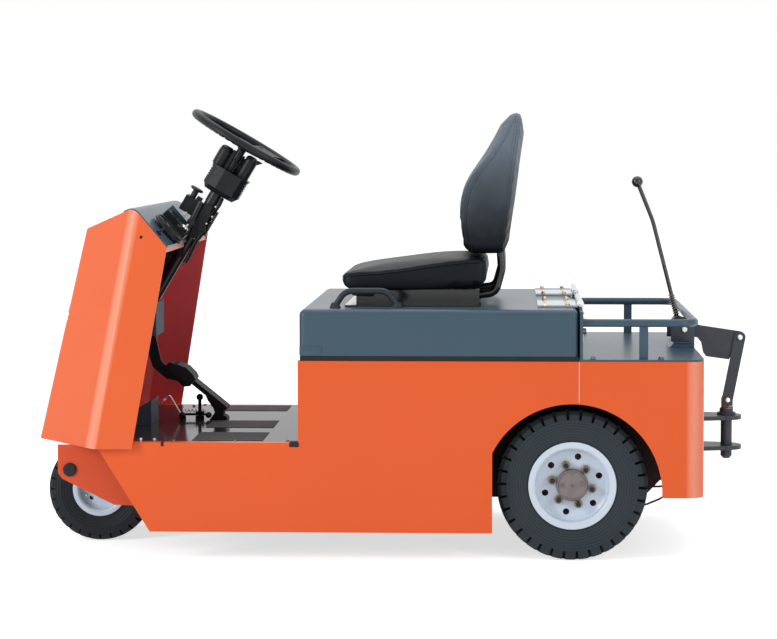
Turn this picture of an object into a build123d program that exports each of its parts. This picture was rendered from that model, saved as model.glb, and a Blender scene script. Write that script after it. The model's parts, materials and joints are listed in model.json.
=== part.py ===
from build123d import *
import math
import os

os.makedirs("parts", exist_ok=True)

# Sit-on electric tow tractor. Millimetres, +Z up, +X to the rear, Y across (left side is -Y).
# The origin is on the ground, below the middle of the outline. The layout's X is counted from a
# station OUTLINE_MIDDLE in front of it, and each piece is moved by that much when it is written.

# ---- driving dimensions ------------------------------------------------------------------
OUTLINE_MIDDLE = 2.85
SHEET = 4.0                 # thickness of the outer sheet panels
HALF_WIDTH = 430.0          # body side panels, measured to the outside
BODY_BOTTOM = 81.0
FLOOR_TOP = 328.0
FLOOR_THICK = 6.0
SEAT_BOX_FRONT = -253.0     # face of the battery box behind the platform
BODY_TOP = 553.0            # upper edge of the orange body
SEAM_X = 516.0              # joint between side panel and rear body
WELL_FRONT = 279.0          # front edge of the rear wheel cut-out
ARCH_X, ARCH_Z, ARCH_R = 498.0, 192.0, 245.0
REAR_END = 859.0
HEAD_WALL = -634.0          # wall behind the front wheels
TRAY_REAR = 262.0           # wall behind the battery
REAR_BOTTOM = 180.0
REAR_CORNER_R = 46.0
DECK_TOP = 559.0

WHEEL_X, WHEEL_Z, WHEEL_R = 499.0, 207.5, 207.5      # rear wheels
WHEEL_Y, TYRE_W = 344.0, 112.0
WHEEL_TURN = 12.0                                    # where the wheel nuts stand, degrees
MOTOR_Z = 267.5
FRONT_X, FRONT_R = -855.0, 150.0                     # twin front wheels and their kingpin
FRONT_Y, FRONT_W = 91.0, 90.0

COWL_BOTTOM = 311.0
COWL_Y = 450.0                                       # half width at the bottom edge
COWL_LEAN = 0.0787                                   # inward lean of the sides, mm per mm
COWL_TOP = 971.0
COWL_REAR = -707.0                                   # rear edge at the bottom
BEND_LOW, BEND_HIGH = -813.0, -706.0                 # side to facet bend, bottom and top
NOSE_Y = 232.0
NOSE_LOW, NOSE_HIGH, NOSE_TOP = -1006.0, -868.4, 905.4
DASH_LOW_X, DASH_LOW_Z = -614.0, 862.0               # lower rear corner of the dash opening
COWL_MIDDLE = (-790.0, 0.0, 600.0)                   # a point inside the cowl
COWL_BEND_R = 22.0
PRISM_FLOOR = 200.0                                  # below every cut of the cowl

HOOD_FRONT, HOOD_REAR = -249.0, 513.0
HOOD_BOTTOM, HOOD_TOP = 567.0, 694.0
HOOD_EDGE_R = 17.0
HINGE_X, HINGE_Z = 522.0, 705.0
HINGE_YS = (-200.0, 252.0)
HINGE_HALF = 140.0
HINGE_LEAF_FRONT = 404.0
BULKHEAD_X = 518.0
RAIL_Y, RAIL_Z, RAIL_REAR, RAIL_R, RAIL_BEND = 404.0, 657.0, 834.0, 10.85, 50.0
CHEEK_Y = 75.0
LAMP_Z = 640.0
COVER_FRONT, COVER_REAR, COVER_HALF = -800.0, -699.0, 70.0
COVER_LOW, COVER_HIGH = 588.0, 684.0

STEER_C = (-443.0, 0.0, 1149.0)                      # centre of the steering wheel
STEER_R, STEER_TUBE = 179.5, 12.0
STEER_TILT = 30.6                                    # rear edge down, degrees
GRIP_COUNT = 48
SPOKE_TURN = 62.0                                    # spokes from the rear of the wheel, degrees
DRUM_LIFT = 7.0                                      # middle of the switch drum, square to the axis
SWITCH_CAPS = ((-36.0, 22.0, 60.5), (40.0, 19.5, 70.0))     # (lift, radius, height) on the drum
COLUMN_TOP, COLUMN_JOINT = 97.5, 560.0               # column ends, measured down the axis from the wheel
HOUSING_TOP, HOUSING_BOTTOM = 96.5, 171.5
PANEL_SHEET, PANEL_BEND = 3.0, 30.0                  # dash panel and the bend along its upper edge

LEVER_X, LEVER_Z = 829.5, 611.0                      # pivot of the hitch lever
ARM_X, ARM_Z = 995.7, 584.0                          # eye where the link hangs
LINK_X, LINK_Z = 960.0, 401.0                        # lower eye of the link
PIN_X, PIN_R = 958.5, 16.5
TONGUE_TOPS = (357.0, 270.0)
TONGUE_THICK = 12.0
BASE_TOP = 572.0                                     # base block under the lever's cheeks
BOSS_X, BOSS_Z, BOSS_R = 816.0, 626.0, 19.0          # clamp at the foot of the lever rod


# ---- helpers -----------------------------------------------------------------------------
def box(x0, x1, y0, y1, z0, z1):
    """Block between two opposite corners."""
    return Pos((x0 + x1) / 2, (y0 + y1) / 2, (z0 + z1) / 2) * Box(x1 - x0, y1 - y0, z1 - z0)


def prism_y(points, y0, y1):
    """Outline of (x, z) points, extruded from y0 to y1."""
    outline = Polyline([(x, y0, z) for x, z in points], close=True)
    return extrude(make_face(outline), amount=y1 - y0, dir=(0, 1, 0))


def prism_z(points, z0, z1):
    """Outline of (x, y) points, extruded from z0 to z1."""
    outline = Polyline([(x, y, z0) for x, y in points], close=True)
    return extrude(make_face(outline), amount=z1 - z0, dir=(0, 0, 1))


def rod(start, end, radius):
    """Round bar from start to end."""
    a, b = Vector(*start), Vector(*end)
    along = b - a
    return Plane(origin=a, z_dir=along) * Cylinder(radius, along.length,
        align=(Align.CENTER, Align.CENTER, Align.MIN))


def rod_y(x, z, radius, y0, y1):
    """Round bar along Y."""
    return rod((x, y0, z), (x, y1, z), radius)


def rod_z(x, y, radius, z0, z1):
    """Round bar along Z."""
    return rod((x, y, z0), (x, y, z1), radius)


def bent_tube(points, radii, radius):
    """Round bar along straight runs joined by arcs."""
    path = FilletPolyline(*[Vector(*p) for p in points], radius=radii)
    start = Plane(origin=path @ 0, z_dir=path % 0)
    return sweep(start * Circle(radius), path=path)


def flipped(shape):
    """The same piece on the other side of the vehicle."""
    return mirror(shape, about=Plane.XZ)


def turned(points, axis_y, side):
    """Ring about the wheel axis from (radius, outward distance) points, outward on the given side."""
    outline = Polyline([(r, side * w, 0) for r, w in points], close=True)
    ring = revolve(make_face(outline), Axis.Y)
    return Pos(0, axis_y, 0) * ring


def save(name, shape):
    """Write one node, moved so that the outline's middle is above the origin."""
    export_step(Pos(-OUTLINE_MIDDLE, 0, 0) * shape, "parts/" + name + ".step")


# ---- wheels ------------------------------------------------------------------------------
def lugged_tyre(radius, width, bore, lug_count, slot, groove=0.0):
    """Tyre about the Y axis with wedge slots cut in from both shoulders, half a pitch apart.

    slot is (depth, width at the tread, width at the root, reach); groove is the depth of a centre groove."""
    half = width / 2
    wall = (radius + bore) / 2 + 6
    profile = [
        (bore, half - 10), (bore + 14, half - 7), (wall, half), (radius - 12, half - 4),
        (radius - 2, half - 12),
        (radius, half - 24),
    ]
    if groove:
        profile = profile + [(radius, 5), (radius - groove, 4)]
    tyre = turned(profile + [(r, -w) for r, w in reversed(profile)], 0, 1)
    depth, outer, root, reach = slot
    wedge = [(radius - depth, -root / 2), (radius + 4, -outer / 2), (radius + 4, outer / 2),
        (radius - depth, root / 2)]
    slots = []
    for side in (-1, 1):
        cutter = prism_y(wedge, half - reach, half + 4)
        if side < 0:
            cutter = flipped(cutter)
        for i in range(lug_count):
            slots.append(Rot(0, 360.0 / lug_count * (i + (0.5 if side > 0 else 0.0)), 0) * cutter)
    return tyre - slots



def rim_section(lip, seat, half, disc, bore, sheet=4.0):
    """Half section of a pressed wheel in (radius, outward distance): barrel, two flanges and a flat disc."""
    disc_in, disc_out = disc
    section = [
        (seat, half), (lip, half), (lip, half + sheet), (seat - sheet, half + sheet),
        (seat - sheet, disc_out + 6),
        (seat - sheet - 8, disc_out), (bore, disc_out), (bore, disc_in), (seat - sheet - 6, disc_in),
        (seat - sheet, disc_in - 5), (seat - sheet, -half - sheet), (lip, -half - sheet), (lip, -half),
        (seat, -half),
    ]
    return section


def pressed_wheel(lip, seat, half, disc, bore, side, sheet=4.0):
    """Wheel turned from its section, with the flanges rolled outward and rounded."""
    outline = Polyline([(r, side * w, 0) for r, w in rim_section(lip, seat, half, disc, bore, sheet)],
        close=True)
    face = make_face(outline)
    corners = [v for v in face.vertices() if abs(abs(v.Y) - half - sheet) < 0.1 and v.X < seat]
    face = fillet(corners, 2.2 * sheet)
    roots = [v for v in face.vertices() if abs(abs(v.Y) - half) < 0.1 and v.X < seat + 1]
    face = fillet(roots, 1.2 * sheet)
    tips = [v for v in face.vertices() if v.X > lip - 0.1]
    face = fillet(tips, 0.45 * sheet)
    return revolve(face, Axis.Y)


def rear_rim(side):
    """Dished disc wheel of the rear axle, outward on the given side."""
    rim = pressed_wheel(121.0, 104.2, 50.0, (13.0, 20.0), 38.0, side)
    holes = []
    for i in range(6):
        holes.append(Rot(0, 30 + 60 * i, 0) * rod_y(78, 0, 9, -60, 60))
    for i in range(6):
        holes.append(Rot(0, 60 * i, 0) * rod_y(56, 0, 5.6, -60, 60))
    return rim - holes


def rear_hub(side):
    """Brake drum, hub flange, six wheel nuts and the turned cap with its two screws."""
    drum = turned([(0, -68), (84, -68), (84, -26), (60, -20), (60, 12.7), (0, 12.7)], 0, side)
    cap = turned([(0, 12), (37.5, 12), (37.5, 20.3), (43, 20.3), (43, 36), (41, 38), (0, 38)], 0, side)
    hub = drum + cap
    for i in range(6):
        nut = Rot(0, 60 * i, 0) * (Pos(56, side * 26.2, 0) * Rot(90, 0, 0)
            * extrude(RegularPolygon(9, 6), 6, both=True))
        stud = Rot(0, 60 * i, 0) * rod_y(56, 0, 5, side * 12, side * 36)
        hub = hub + nut + stud
    return hub


def front_rim(side):
    """Small pressed wheel with four holes and its hub."""
    rim = pressed_wheel(78.5, 64.0, 39.6, (6.0, 14.0), 20.0, side)
    rim = rim + turned([(0, 4), (31, 4), (31, 24), (27, 30), (0, 30)], 0, side)
    holes = []
    for i in range(4):
        holes.append(Rot(0, 45 + 90 * i, 0) * rod_y(42, 0, 6.5, -60, 60))
    return rim - holes


def make_rear_wheels():
    """Both driven wheels: tyre, rim and hub."""
    for name, side in (("left", -1), ("right", 1)):
        place = Pos(WHEEL_X, side * WHEEL_Y, WHEEL_Z) * Rot(0, WHEEL_TURN, 0)
        save("rear_tyre_" + name, place * lugged_tyre(WHEEL_R, TYRE_W, 104.6, 34, (26, 11, 6, 30)))
        save("rear_rim_" + name, place * rear_rim(side))
        save("rear_hub_" + name, place * rear_hub(side))


def make_front_unit():
    """Steered leg with its kingpin and the twin wheels on one axle."""
    leg = box(FRONT_X - 32, FRONT_X + 32, -34, 34, 150, 308)
    leg = leg + rod_y(FRONT_X, FRONT_R, 32, -34, 34)
    turntable = rod_z(FRONT_X, 0, 62, 306, 311)
    kingpin = rod_z(FRONT_X, 0, 20, 300, 420)
    sprocket = rod_z(FRONT_X, 0, 45, 404, 414)
    fork = leg + turntable + kingpin + sprocket
    fork = fork - rod_y(FRONT_X, FRONT_R, 14.5, -60, 60)
    save("steering_fork", fork)

    tyres = []
    rims = [rod_y(FRONT_X, FRONT_R, 14, -FRONT_Y - 8, FRONT_Y + 8)]
    for side in (-1, 1):
        place = Pos(FRONT_X, side * FRONT_Y, FRONT_R)
        tyres.append(place * lugged_tyre(FRONT_R, FRONT_W, 64.3, 28, (19, 8, 4, 23), groove=5.0))
        rims.append(place * front_rim(side))
    save("front_tyres", Compound(children=tyres))
    save("front_rims", rims[0] + rims[1] + rims[2])


# ---- chassis -----------------------------------------------------------------------------
def make_chassis_frame():
    """Lower rails, cross members and the tray that carries the battery."""
    frame = box(-245, TRAY_REAR, -376, 376, 88, 96)
    for side in (-1, 1):
        rail = box(HEAD_WALL, TRAY_REAR, 380, 420, 88, 140)
        if side < 0:
            rail = flipped(rail)
        frame = frame + rail
    for x in (HEAD_WALL, -480, -300):
        frame = frame + box(x, x + 40, -380, 380, 96, 136)
    frame = frame + box(-250, -246, -420, 420, 88, 321)
    save("chassis_frame", frame)


def make_platform_bearers():
    """Two arches that stand on the rails and carry the platform plate."""
    bearers = []
    for x in (-600, -304):
        arch = box(x, x + 40, -424, 424, 290, FLOOR_TOP - FLOOR_THICK)
        for side in (-1, 1):
            arch = arch + box(x, x + 40, side * 400 - 12, side * 400 + 12, 140, 292)
        bearers.append(arch)
    save("platform_bearers", Compound(children=bearers))


def make_steering_head():
    """Folded plate over the front wheels with the kingpin bearing and the wall behind them."""
    top = [(-632, 352), (-885, 352), (-930, 300), (-930, -300), (-885, -352), (-632, -352)]
    head = prism_z(top, 312, 320)
    for side in (-1, 1):
        head = head + box(-880, -632, side * 350 - 3.7, side * 350 + 3.7, 292, 316)
    head = head + rod_z(FRONT_X, 0, 38, 312, 400)
    for angle in (0, 90, 180, 270):
        web = prism_y([(34, 318), (56, 318), (34, 372)], -4, 4)
        head = head + Pos(FRONT_X, 0, 0) * Rot(0, 0, 45 + angle) * web
    head = head + box(HEAD_WALL - 6, HEAD_WALL, -352, 352, 136, 320)
    head = head - rod_z(FRONT_X, 0, 20.6, 300, 410)
    save("steering_head", head)


def make_axle_frame():
    """Wheel wells, the wall behind the battery, the stringers over the drive and the plate for the hitch."""
    frame = box(TRAY_REAR, TRAY_REAR + 6, -424, 424, 88, 545)
    for side in (-1, 1):
        well = [(TRAY_REAR + 2, 155), (700, 155), (748, 205), (852, 205), (852, 545), (TRAY_REAR + 2, 545)]
        well = prism_y(well, 262, 268)
        if side < 0:
            well = flipped(well)
        frame = frame + well + box(TRAY_REAR + 2, 785, side * 220 - 20, side * 220 + 20, 300, 350)
    frame = frame + box(780, 790, -262, 262, 205, 545)
    frame = frame - rod_y(WHEEL_X, WHEEL_Z, 36, -280, 280)
    save("axle_frame", frame)


def side_panel():
    """Right-hand body side: platform side, battery box side and the front of the wheel arch."""
    out, inner = HALF_WIDTH, HALF_WIDTH - SHEET
    outline = [
        (-662, BODY_BOTTOM), (WELL_FRONT, BODY_BOTTOM), (WELL_FRONT, BODY_TOP),
        (SEAT_BOX_FRONT, BODY_TOP), (SEAT_BOX_FRONT, FLOOR_TOP), (-816, FLOOR_TOP), (-800, 303.5),
    ]
    over_wheel = box(WELL_FRONT, SEAM_X, inner, out, ARCH_Z, BODY_TOP)
    over_wheel = over_wheel - rod_y(ARCH_X, ARCH_Z, ARCH_R, inner - 5, out + 5)
    panel = prism_y(outline, inner, out) + over_wheel
    panel = panel + box(-790, SEAT_BOX_FRONT, inner - 21, out - 1, FLOOR_TOP - SHEET, FLOOR_TOP)
    panel = panel + box(-655, WELL_FRONT, inner - 26, out - 1, BODY_BOTTOM, BODY_BOTTOM + SHEET)
    panel = panel + box(SEAT_BOX_FRONT, SEAM_X, inner - 26, out - 1, BODY_TOP - SHEET, BODY_TOP)
    return panel


def make_side_panels():
    """Both body sides."""
    save("side_panel_right", side_panel())
    save("side_panel_left", flipped(side_panel()))


def make_rear_body():
    """Bent wrap round the back with rounded corners and the rear of both wheel arches."""
    outer = Pos((SEAM_X + REAR_END) / 2, 0, (REAR_BOTTOM + BODY_TOP) / 2) * Box(
        REAR_END - SEAM_X, 2 * HALF_WIDTH, BODY_TOP - REAR_BOTTOM)
    outer = fillet(outer.edges().filter_by(Axis.Z).group_by(Axis.X)[-1], REAR_CORNER_R)
    inner = box(SEAM_X - 40, REAR_END - SHEET, -HALF_WIDTH + SHEET, HALF_WIDTH - SHEET, REAR_BOTTOM - 1,
        BODY_TOP + 1)
    inner = fillet(inner.edges().filter_by(Axis.Z).group_by(Axis.X)[-1], REAR_CORNER_R - SHEET)
    wrap = outer - inner
    wrap = wrap - rod_y(ARCH_X, ARCH_Z, ARCH_R, -500, 500)
    save("rear_body", wrap)


def make_floor():
    """Platform plate and the front of the battery box."""
    floor = box(-812, SEAT_BOX_FRONT - 1, -404, 404, FLOOR_TOP - FLOOR_THICK, FLOOR_TOP)
    save("floor_plate", floor)
    save("seat_box_front", box(SEAT_BOX_FRONT, SEAT_BOX_FRONT + SHEET, -399, 399, FLOOR_TOP - 4,
        BODY_TOP - 5))


def make_nose_plates():
    """Recessed chassis sides below the cowl and the round plugs in them."""
    outline = [(-929, 310.5), (-929, 232), (-917, 215), (-772, 143), (-660, 139), (-660, 310.5)]
    plates, plugs = [], []
    for side in (-1, 1):
        plate = prism_y(outline, 354, 360) - rod_y(-895, 241, 12.2, 340, 370)
        plug = rod_y(-895, 241, 12, 350, 360) + turned([(0, 360.2), (19, 360.2), (19, 364), (15, 367),
            (0, 367)], 0, 1).moved(
            Location((-895, 0, 241)))
        if side < 0:
            plate, plug = flipped(plate), flipped(plug)
        plates.append(plate)
        plugs.append(plug)
    save("nose_plates", Compound(children=plates))
    save("nose_plugs", Compound(children=plugs))


def beyond(solid, p, q, r, inside):
    """Cut away what lies beyond the plane through p, q and r, seen from the inside point."""
    p, q, r, inside = Vector(*p), Vector(*q), Vector(*r), Vector(*inside)
    normal = (q - p).cross(r - p).normalized()
    if normal.dot(inside - p) > 0:
        normal = normal * -1
    return solid - Plane(origin=p, z_dir=normal) * Box(4000, 4000, 1000,
        align=(Align.CENTER, Align.CENTER, Align.MIN))


def moved_in(points, inside, distance):
    """Three points of a plane, moved toward the inside point along the plane's normal."""
    p, q, r = [Vector(*pt) for pt in points]
    normal = (q - p).cross(r - p).normalized()
    if normal.dot(Vector(*inside) - p) < 0:
        normal = normal * -1
    return [tuple(pt + normal * distance) for pt in (p, q, r)]


def between_cowl_sides(solid, offset):
    """What lies between the cowl's sides and front corner facets, moved inward by offset."""
    side_top = COWL_Y - COWL_LEAN * (COWL_TOP - COWL_BOTTOM)
    for side in (-1, 1):
        low, high = side * COWL_Y, side * side_top
        wall = [(BEND_LOW, low, COWL_BOTTOM), (COWL_REAR, low, COWL_BOTTOM), (BEND_HIGH, high, COWL_TOP)]
        facet = [(BEND_LOW, low, COWL_BOTTOM), (NOSE_LOW, side * NOSE_Y, COWL_BOTTOM),
            (BEND_HIGH, high, COWL_TOP)]
        for points in (wall, facet):
            solid = beyond(solid, *moved_in(points, COWL_MIDDLE, offset), COWL_MIDDLE)
    return solid


def cowl_solid(offset):
    """Solid shape of the cowl; its sheet faces move inward by offset, its open faces outward."""
    open_by = -5.0 if offset else 0.0
    solid = box(-1100, -500, -500, 500, COWL_BOTTOM + open_by, 1100)
    cuts = [
        ([(NOSE_LOW, 0, COWL_BOTTOM), (NOSE_LOW, 9, COWL_BOTTOM), (NOSE_HIGH, 0, NOSE_TOP)], offset),
        ([(NOSE_HIGH, 0, NOSE_TOP), (NOSE_HIGH, 9, NOSE_TOP), (BEND_HIGH, 0, COWL_TOP)], offset),
        ([(BEND_HIGH, 0, COWL_TOP), (BEND_HIGH, 9, COWL_TOP), (DASH_LOW_X, 0, DASH_LOW_Z)], open_by),
        ([(DASH_LOW_X, 0, DASH_LOW_Z), (DASH_LOW_X, 9, DASH_LOW_Z), (COWL_REAR, 0, COWL_BOTTOM)], open_by),
    ]
    for points, distance in cuts:
        solid = beyond(solid, *moved_in(points, COWL_MIDDLE, distance), COWL_MIDDLE)
    return between_cowl_sides(solid, offset)


def top_corner():
    """Corner between the cowl's upper face and the dash slope, and the (x, z) directions of the two."""
    rise = Vector(BEND_HIGH - NOSE_HIGH, COWL_TOP - NOSE_TOP).normalized()
    fall = Vector(DASH_LOW_X - BEND_HIGH, DASH_LOW_Z - COWL_TOP).normalized()
    return Vector(BEND_HIGH, COWL_TOP), rise, fall


def below_top(lift, radius, before, after):
    """Prism below the bent line of the cowl's top: upper face, bend and dash slope, moved out by lift."""
    corner, rise, fall = top_corner()
    up_rise, up_fall = Vector(-rise.Y, rise.X), Vector(-fall.Y, fall.X)
    corner = corner + (up_rise + up_fall) * (lift / (1 + up_rise.dot(up_fall)))
    start, end = corner - rise * before, corner + fall * after
    outline = [(start.X, start.Y), (corner.X, corner.Y), (end.X, end.Y), (end.X, PRISM_FLOOR),
        (start.X, PRISM_FLOOR)]
    prism = prism_y(outline, -500, 500)
    ridge = prism.edges().filter_by(Axis.Y).sort_by(Axis.Z)[-1]
    return fillet(ridge, radius)


def make_cowl():
    """Bent sheet cowl, open at the back, above the dash and underneath, with a lip below the dash."""
    outer = cowl_solid(0.0)
    bends = outer.edges().filter_by(lambda e: bend_edge(e))
    outer = fillet(bends, COWL_BEND_R) & below_top(0.0, PANEL_BEND, 500, 600)
    opening = between_cowl_sides(box(BEND_HIGH - PANEL_BEND + 8, -500, -500, 500, NOSE_TOP, 1100), SHEET)
    shell = outer - cowl_solid(SHEET) - opening
    shell = shell - rod_y(-685, 890, 4.5, -500, 500)
    lip_out, lip_in = 404.0, 58.0                        # from the side sheet to the steering column's gap
    for side in (-1, 1):
        y0, y1 = sorted((side * lip_in, side * lip_out))
        shell = shell + box(DASH_LOW_X - 9, DASH_LOW_X - 5, y0, y1, DASH_LOW_Z - 15, DASH_LOW_Z - 3)
    save("cowl", shell)


def bend_edge(edge):
    """True for the long bends between side, facet and nose."""
    a, b = edge @ 0, edge @ 1
    low, high = (a, b) if a.Z < b.Z else (b, a)
    rises = high.Z - low.Z > 500
    return rises and low.X < BEND_LOW + 5


# ---- dash, steering and pedals -----------------------------------------------------------
def along_column(distance, side=0.0, lift=0.0):
    """Point on the steering axis below the wheel; side is along Y, lift is square to the axis, up and back."""
    tilt = math.radians(STEER_TILT)
    down = (-math.sin(tilt), -math.cos(tilt))
    x = STEER_C[0] + down[0] * distance + math.cos(tilt) * lift
    z = STEER_C[2] + down[1] * distance - math.sin(tilt) * lift
    return (x, side, z)


def column_plane(distance):
    """Plane square to the steering axis, its z pointing up to the wheel."""
    tilt = math.radians(STEER_TILT)
    return Plane(origin=along_column(distance), x_dir=(math.cos(tilt), 0, -math.sin(tilt)),
                 z_dir=(math.sin(tilt), 0, math.cos(tilt)))


def dash_face():
    """Plane of the dash slope: x down the slope, y across, z outward."""
    slope = Vector(DASH_LOW_X - BEND_HIGH, 0, DASH_LOW_Z - COWL_TOP)
    return Plane(origin=(BEND_HIGH, 0, COWL_TOP), x_dir=slope, z_dir=Vector(0, 1, 0).cross(slope) * -1)


def make_dash():
    """Sheet panel bent over the cowl's upper edge, with its gauge, meter, key switch and toggle."""
    face = dash_face()
    length = Vector(DASH_LOW_X - BEND_HIGH, 0, DASH_LOW_Z - COWL_TOP).length
    panel = below_top(PANEL_SHEET, PANEL_BEND + PANEL_SHEET, 38, length) - below_top(0.0, PANEL_BEND, 500,
        600)
    panel = between_cowl_sides(panel, 0.6)
    panel = panel - face * Pos(length * 0.93, 0, 0) * Box(90, 104, 90)
    hood = face * Pos(length * 0.5, -5, PANEL_SHEET + 15) * Box(74, 3, 31)
    save("dash_panel", panel + hood)

    controls = []
    gauge = turned_on(face, length * 0.68, -244, [(0, 3.2), (30, 3.2), (30, 10), (53, 10), (53, 14),
        (50, 16.5), (0, 16.5)])
    controls.append(gauge)
    meter = face * Pos(length * 0.5, -40, PANEL_SHEET + 10.2) * Box(60, 60, 20)
    meter = meter - face * Pos(length * 0.5, -40, PANEL_SHEET + 20) * Cylinder(25, 5)
    controls.append(fillet(meter.edges().filter_by(Axis.Y).sort_by(Axis.Z)[-1], 3))
    key = face * Pos(length * 0.82, -150, PANEL_SHEET + 12.7) * Box(40, 40, 25)
    barrel = face * Pos(length * 0.82, -150, PANEL_SHEET + 29) * Cylinder(12, 10)
    controls.append(key + barrel)
    toggle = turned_on(face, length * 0.67, -375, [(0, 3.2), (9, 3.2), (9, 8), (4, 10), (3, 24), (0, 24)])
    controls.append(toggle)
    save("dash_controls", Compound(children=controls))


def turned_on(plane, along, across, points):
    """Piece turned from (radius, height) points, standing on a plane."""
    outline = Polyline([(r, 0, h) for r, h in points], close=True)
    return plane * Pos(along, across, 0) * revolve(make_face(outline), Axis.Z)


def column_prism(points, y0, y1):
    """Outline of (lift, distance) points beside the steering axis, extruded from y0 to y1."""
    return prism_y([along_column(distance, 0, lift)[::2] for lift, distance in points], y0, y1)


def make_column():
    """Steering column: jacket, lower tube with its foot, mounting plate, tilt cheeks and cable conduit."""
    joint = along_column(COLUMN_JOINT)
    column = rod(along_column(330), along_column(COLUMN_TOP), 18) + rod(joint, along_column(325), 14.5)
    column = column + rod(along_column(205), along_column(HOUSING_BOTTOM + 0.5), 19.5)
    foot_end = (-842, 130, 346)
    column = column + Pos(*joint) * Sphere(23) + rod(joint, foot_end, 11) + box(-905, -815, 88, 190, 320, 372)
    cheek = [(-14, 212), (12, 210), (22, 262), (30, 284), (20, 306), (13, 318), (-14, 318)]
    for side in (-1, 1):
        column = column + column_prism(cheek, side * 22 - 4, side * 22 + 4)
    bolt = along_column(284, 0, 14)
    column = column + rod_y(bolt[0], bolt[2], 8, -32, 32)
    conduit = bent_tube([along_column(214, -30, -22), along_column(332, -30, -13),
        along_column(385, -6, -2)], [70], 10.5)
    plate = column_prism([(-2, 350), (-2, 590), (-130, 590), (-96, 350)], 9, 14)
    save("steering_column", column + conduit + plate)


def drum_layer(start, end, size, taper=0.0):
    """Slice of the switch drum between two distances down the axis, its section scaled by size."""
    section = [(56.5, 20), (40, 40), (14, 47.5), (-14, 47.5), (-40, 40), (-56.5, 20)]
    outline = section + [(x, -y) for x, y in reversed(section)]
    face = make_face(Polyline([(x * size + DRUM_LIFT, y * size) for x, y in outline], close=True))
    return extrude(column_plane(start) * face, amount=start - end, taper=taper)


def make_switch_housing():
    """Faceted drum under the wheel with gripping ribs at both ends, two capped switches and the lever."""
    taper_start = HOUSING_BOTTOM - 14
    housing = drum_layer(HOUSING_TOP + 5, taper_start, 1.0)
    for end in (-1, 1):
        for i in range(4):
            groove = column_plane(HOUSING_TOP + 14 + 8 * i) * Pos(DRUM_LIFT + end * 56.5, 0, 0) * Box(7, 64,
                3)
            housing = housing - groove
    housing = housing + drum_layer(HOUSING_TOP, HOUSING_TOP + 5, 1.05) + drum_layer(taper_start,
        HOUSING_BOTTOM, 0.98, 35)
    housing = housing - rod(along_column(HOUSING_TOP - 5), along_column(HOUSING_BOTTOM + 5), 18.3)
    for lift, radius, height in SWITCH_CAPS:
        cap = [
            (0, -0.5), (radius, -0.5), (radius, height - 15), (radius - 2, height - 15),
            (radius - 2, height - 12),
            (radius - 0.5, height - 12), (radius - 3, height - 4), (radius - 9, height), (0, height),
        ]
        housing = housing + turned_on(column_plane(HOUSING_TOP), lift, 0, cap)
    housing = housing + column_prism([(-16, 34), (-8, 34), (-8, HOUSING_TOP + 0.5),
        (-16, HOUSING_TOP + 0.5)], -32, -27)
    lever = [(30, 72), (46, 57), (70, 31), (60, 30), (40, 34), (28, 44)]
    save("switch_housing", housing + column_prism(lever, 10, 34))


def make_control_box():
    """Small switch box strapped to the front of the column, with a knob on top."""
    body = column_prism([(-72, 218), (-23, 218), (-23, 265), (-72, 265)], -18, 32)
    recess = column_prism([(-68, 222), (-27, 222), (-27, 261), (-68, 261)], -19, -16)
    strap = column_prism([(-24, 228), (-18.3, 228), (-18.3, 256), (-24, 256)], -5, 5)
    stem = rod(along_column(219, 0, -55), along_column(194, 0, -55), 9)
    knob = turned_on(column_plane(196), -55, 0, [(0, 0), (16, 0), (20, 3), (20, 6), (17, 8.5), (0, 8.5)])
    latch = column_prism([(-42, 206), (-26, 206), (-26, 219), (-42, 219)], -10, 10)
    save("control_box", body - recess + strap + stem + knob + latch)


def make_covers():
    """Folded cover in front of the column and the low cover over the column's foot."""
    cover = box(COVER_FRONT, COVER_REAR, -COVER_HALF, COVER_HALF, COVER_LOW, COVER_HIGH)
    cover = cover - box(COVER_FRONT - 5, COVER_REAR - SHEET, -COVER_HALF + SHEET, COVER_HALF - SHEET, 500,
        800)
    cover = cover - rod(along_column(COLUMN_JOINT), along_column(500), 16)
    save("column_cover", cover)
    low = FLOOR_TOP + 0.2
    outer = prism_y([(-716, low), (-716, 398), (-772, 364), (-790, 345), (-790, low)], -66, 66)
    inner = prism_y([(-719, low - 1), (-719, 393), (-771, 361), (-787, 343), (-787, low - 1)], -63, 63)
    save("foot_cover", outer - inner)


def make_steering_wheel():
    """Rim with finger grips under it, a dished pair of wide spokes, hub and horn button."""
    plane = column_plane(0)
    middle = STEER_R - STEER_TUBE
    grips = []
    for i in range(GRIP_COUNT):
        place = plane * Rot(0, 0, 360.0 / GRIP_COUNT * i) * Pos(middle, 0, -STEER_TUBE - 4)
        grips.append(place * Rot(0, 90, 0) * Cylinder(7, 30))
    rim = plane * Torus(middle, STEER_TUBE) - grips
    dish = turned_on(plane, 0, 0, [
        (0, -20), (62, -20), (100, -14), (145, -6), (middle - 1, -4), (middle - 1, 5), (140, 4), (98, -3),
        (58, -9), (0, -9),
    ])
    fan = extrude(make_face(Polyline([(20, -26), (180, -46), (180, 46), (20, 26)], close=True)), amount=60)
    spokes = plane * Pos(0, 0, -14) * Cylinder(47, 60)
    for turn in (SPOKE_TURN, -SPOKE_TURN):
        spokes = spokes + plane * Rot(0, 0, turn) * Pos(0, 0, -40) * fan
    spokes = spokes & dish
    for turn in (SPOKE_TURN + 12, -SPOKE_TURN - 12):
        spokes = spokes - plane * Rot(0, 0, turn) * Pos(125, 0, 0) * Cylinder(5.5, 60)
    button = turned_on(plane, 0, 0, [(0, -10), (34, -10), (34, -3), (30, 1), (0, 1)])
    shaft = rod(along_column(COLUMN_TOP - 0.5), along_column(19), 9)
    save("steering_wheel", rim + spokes + button + shaft)


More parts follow.
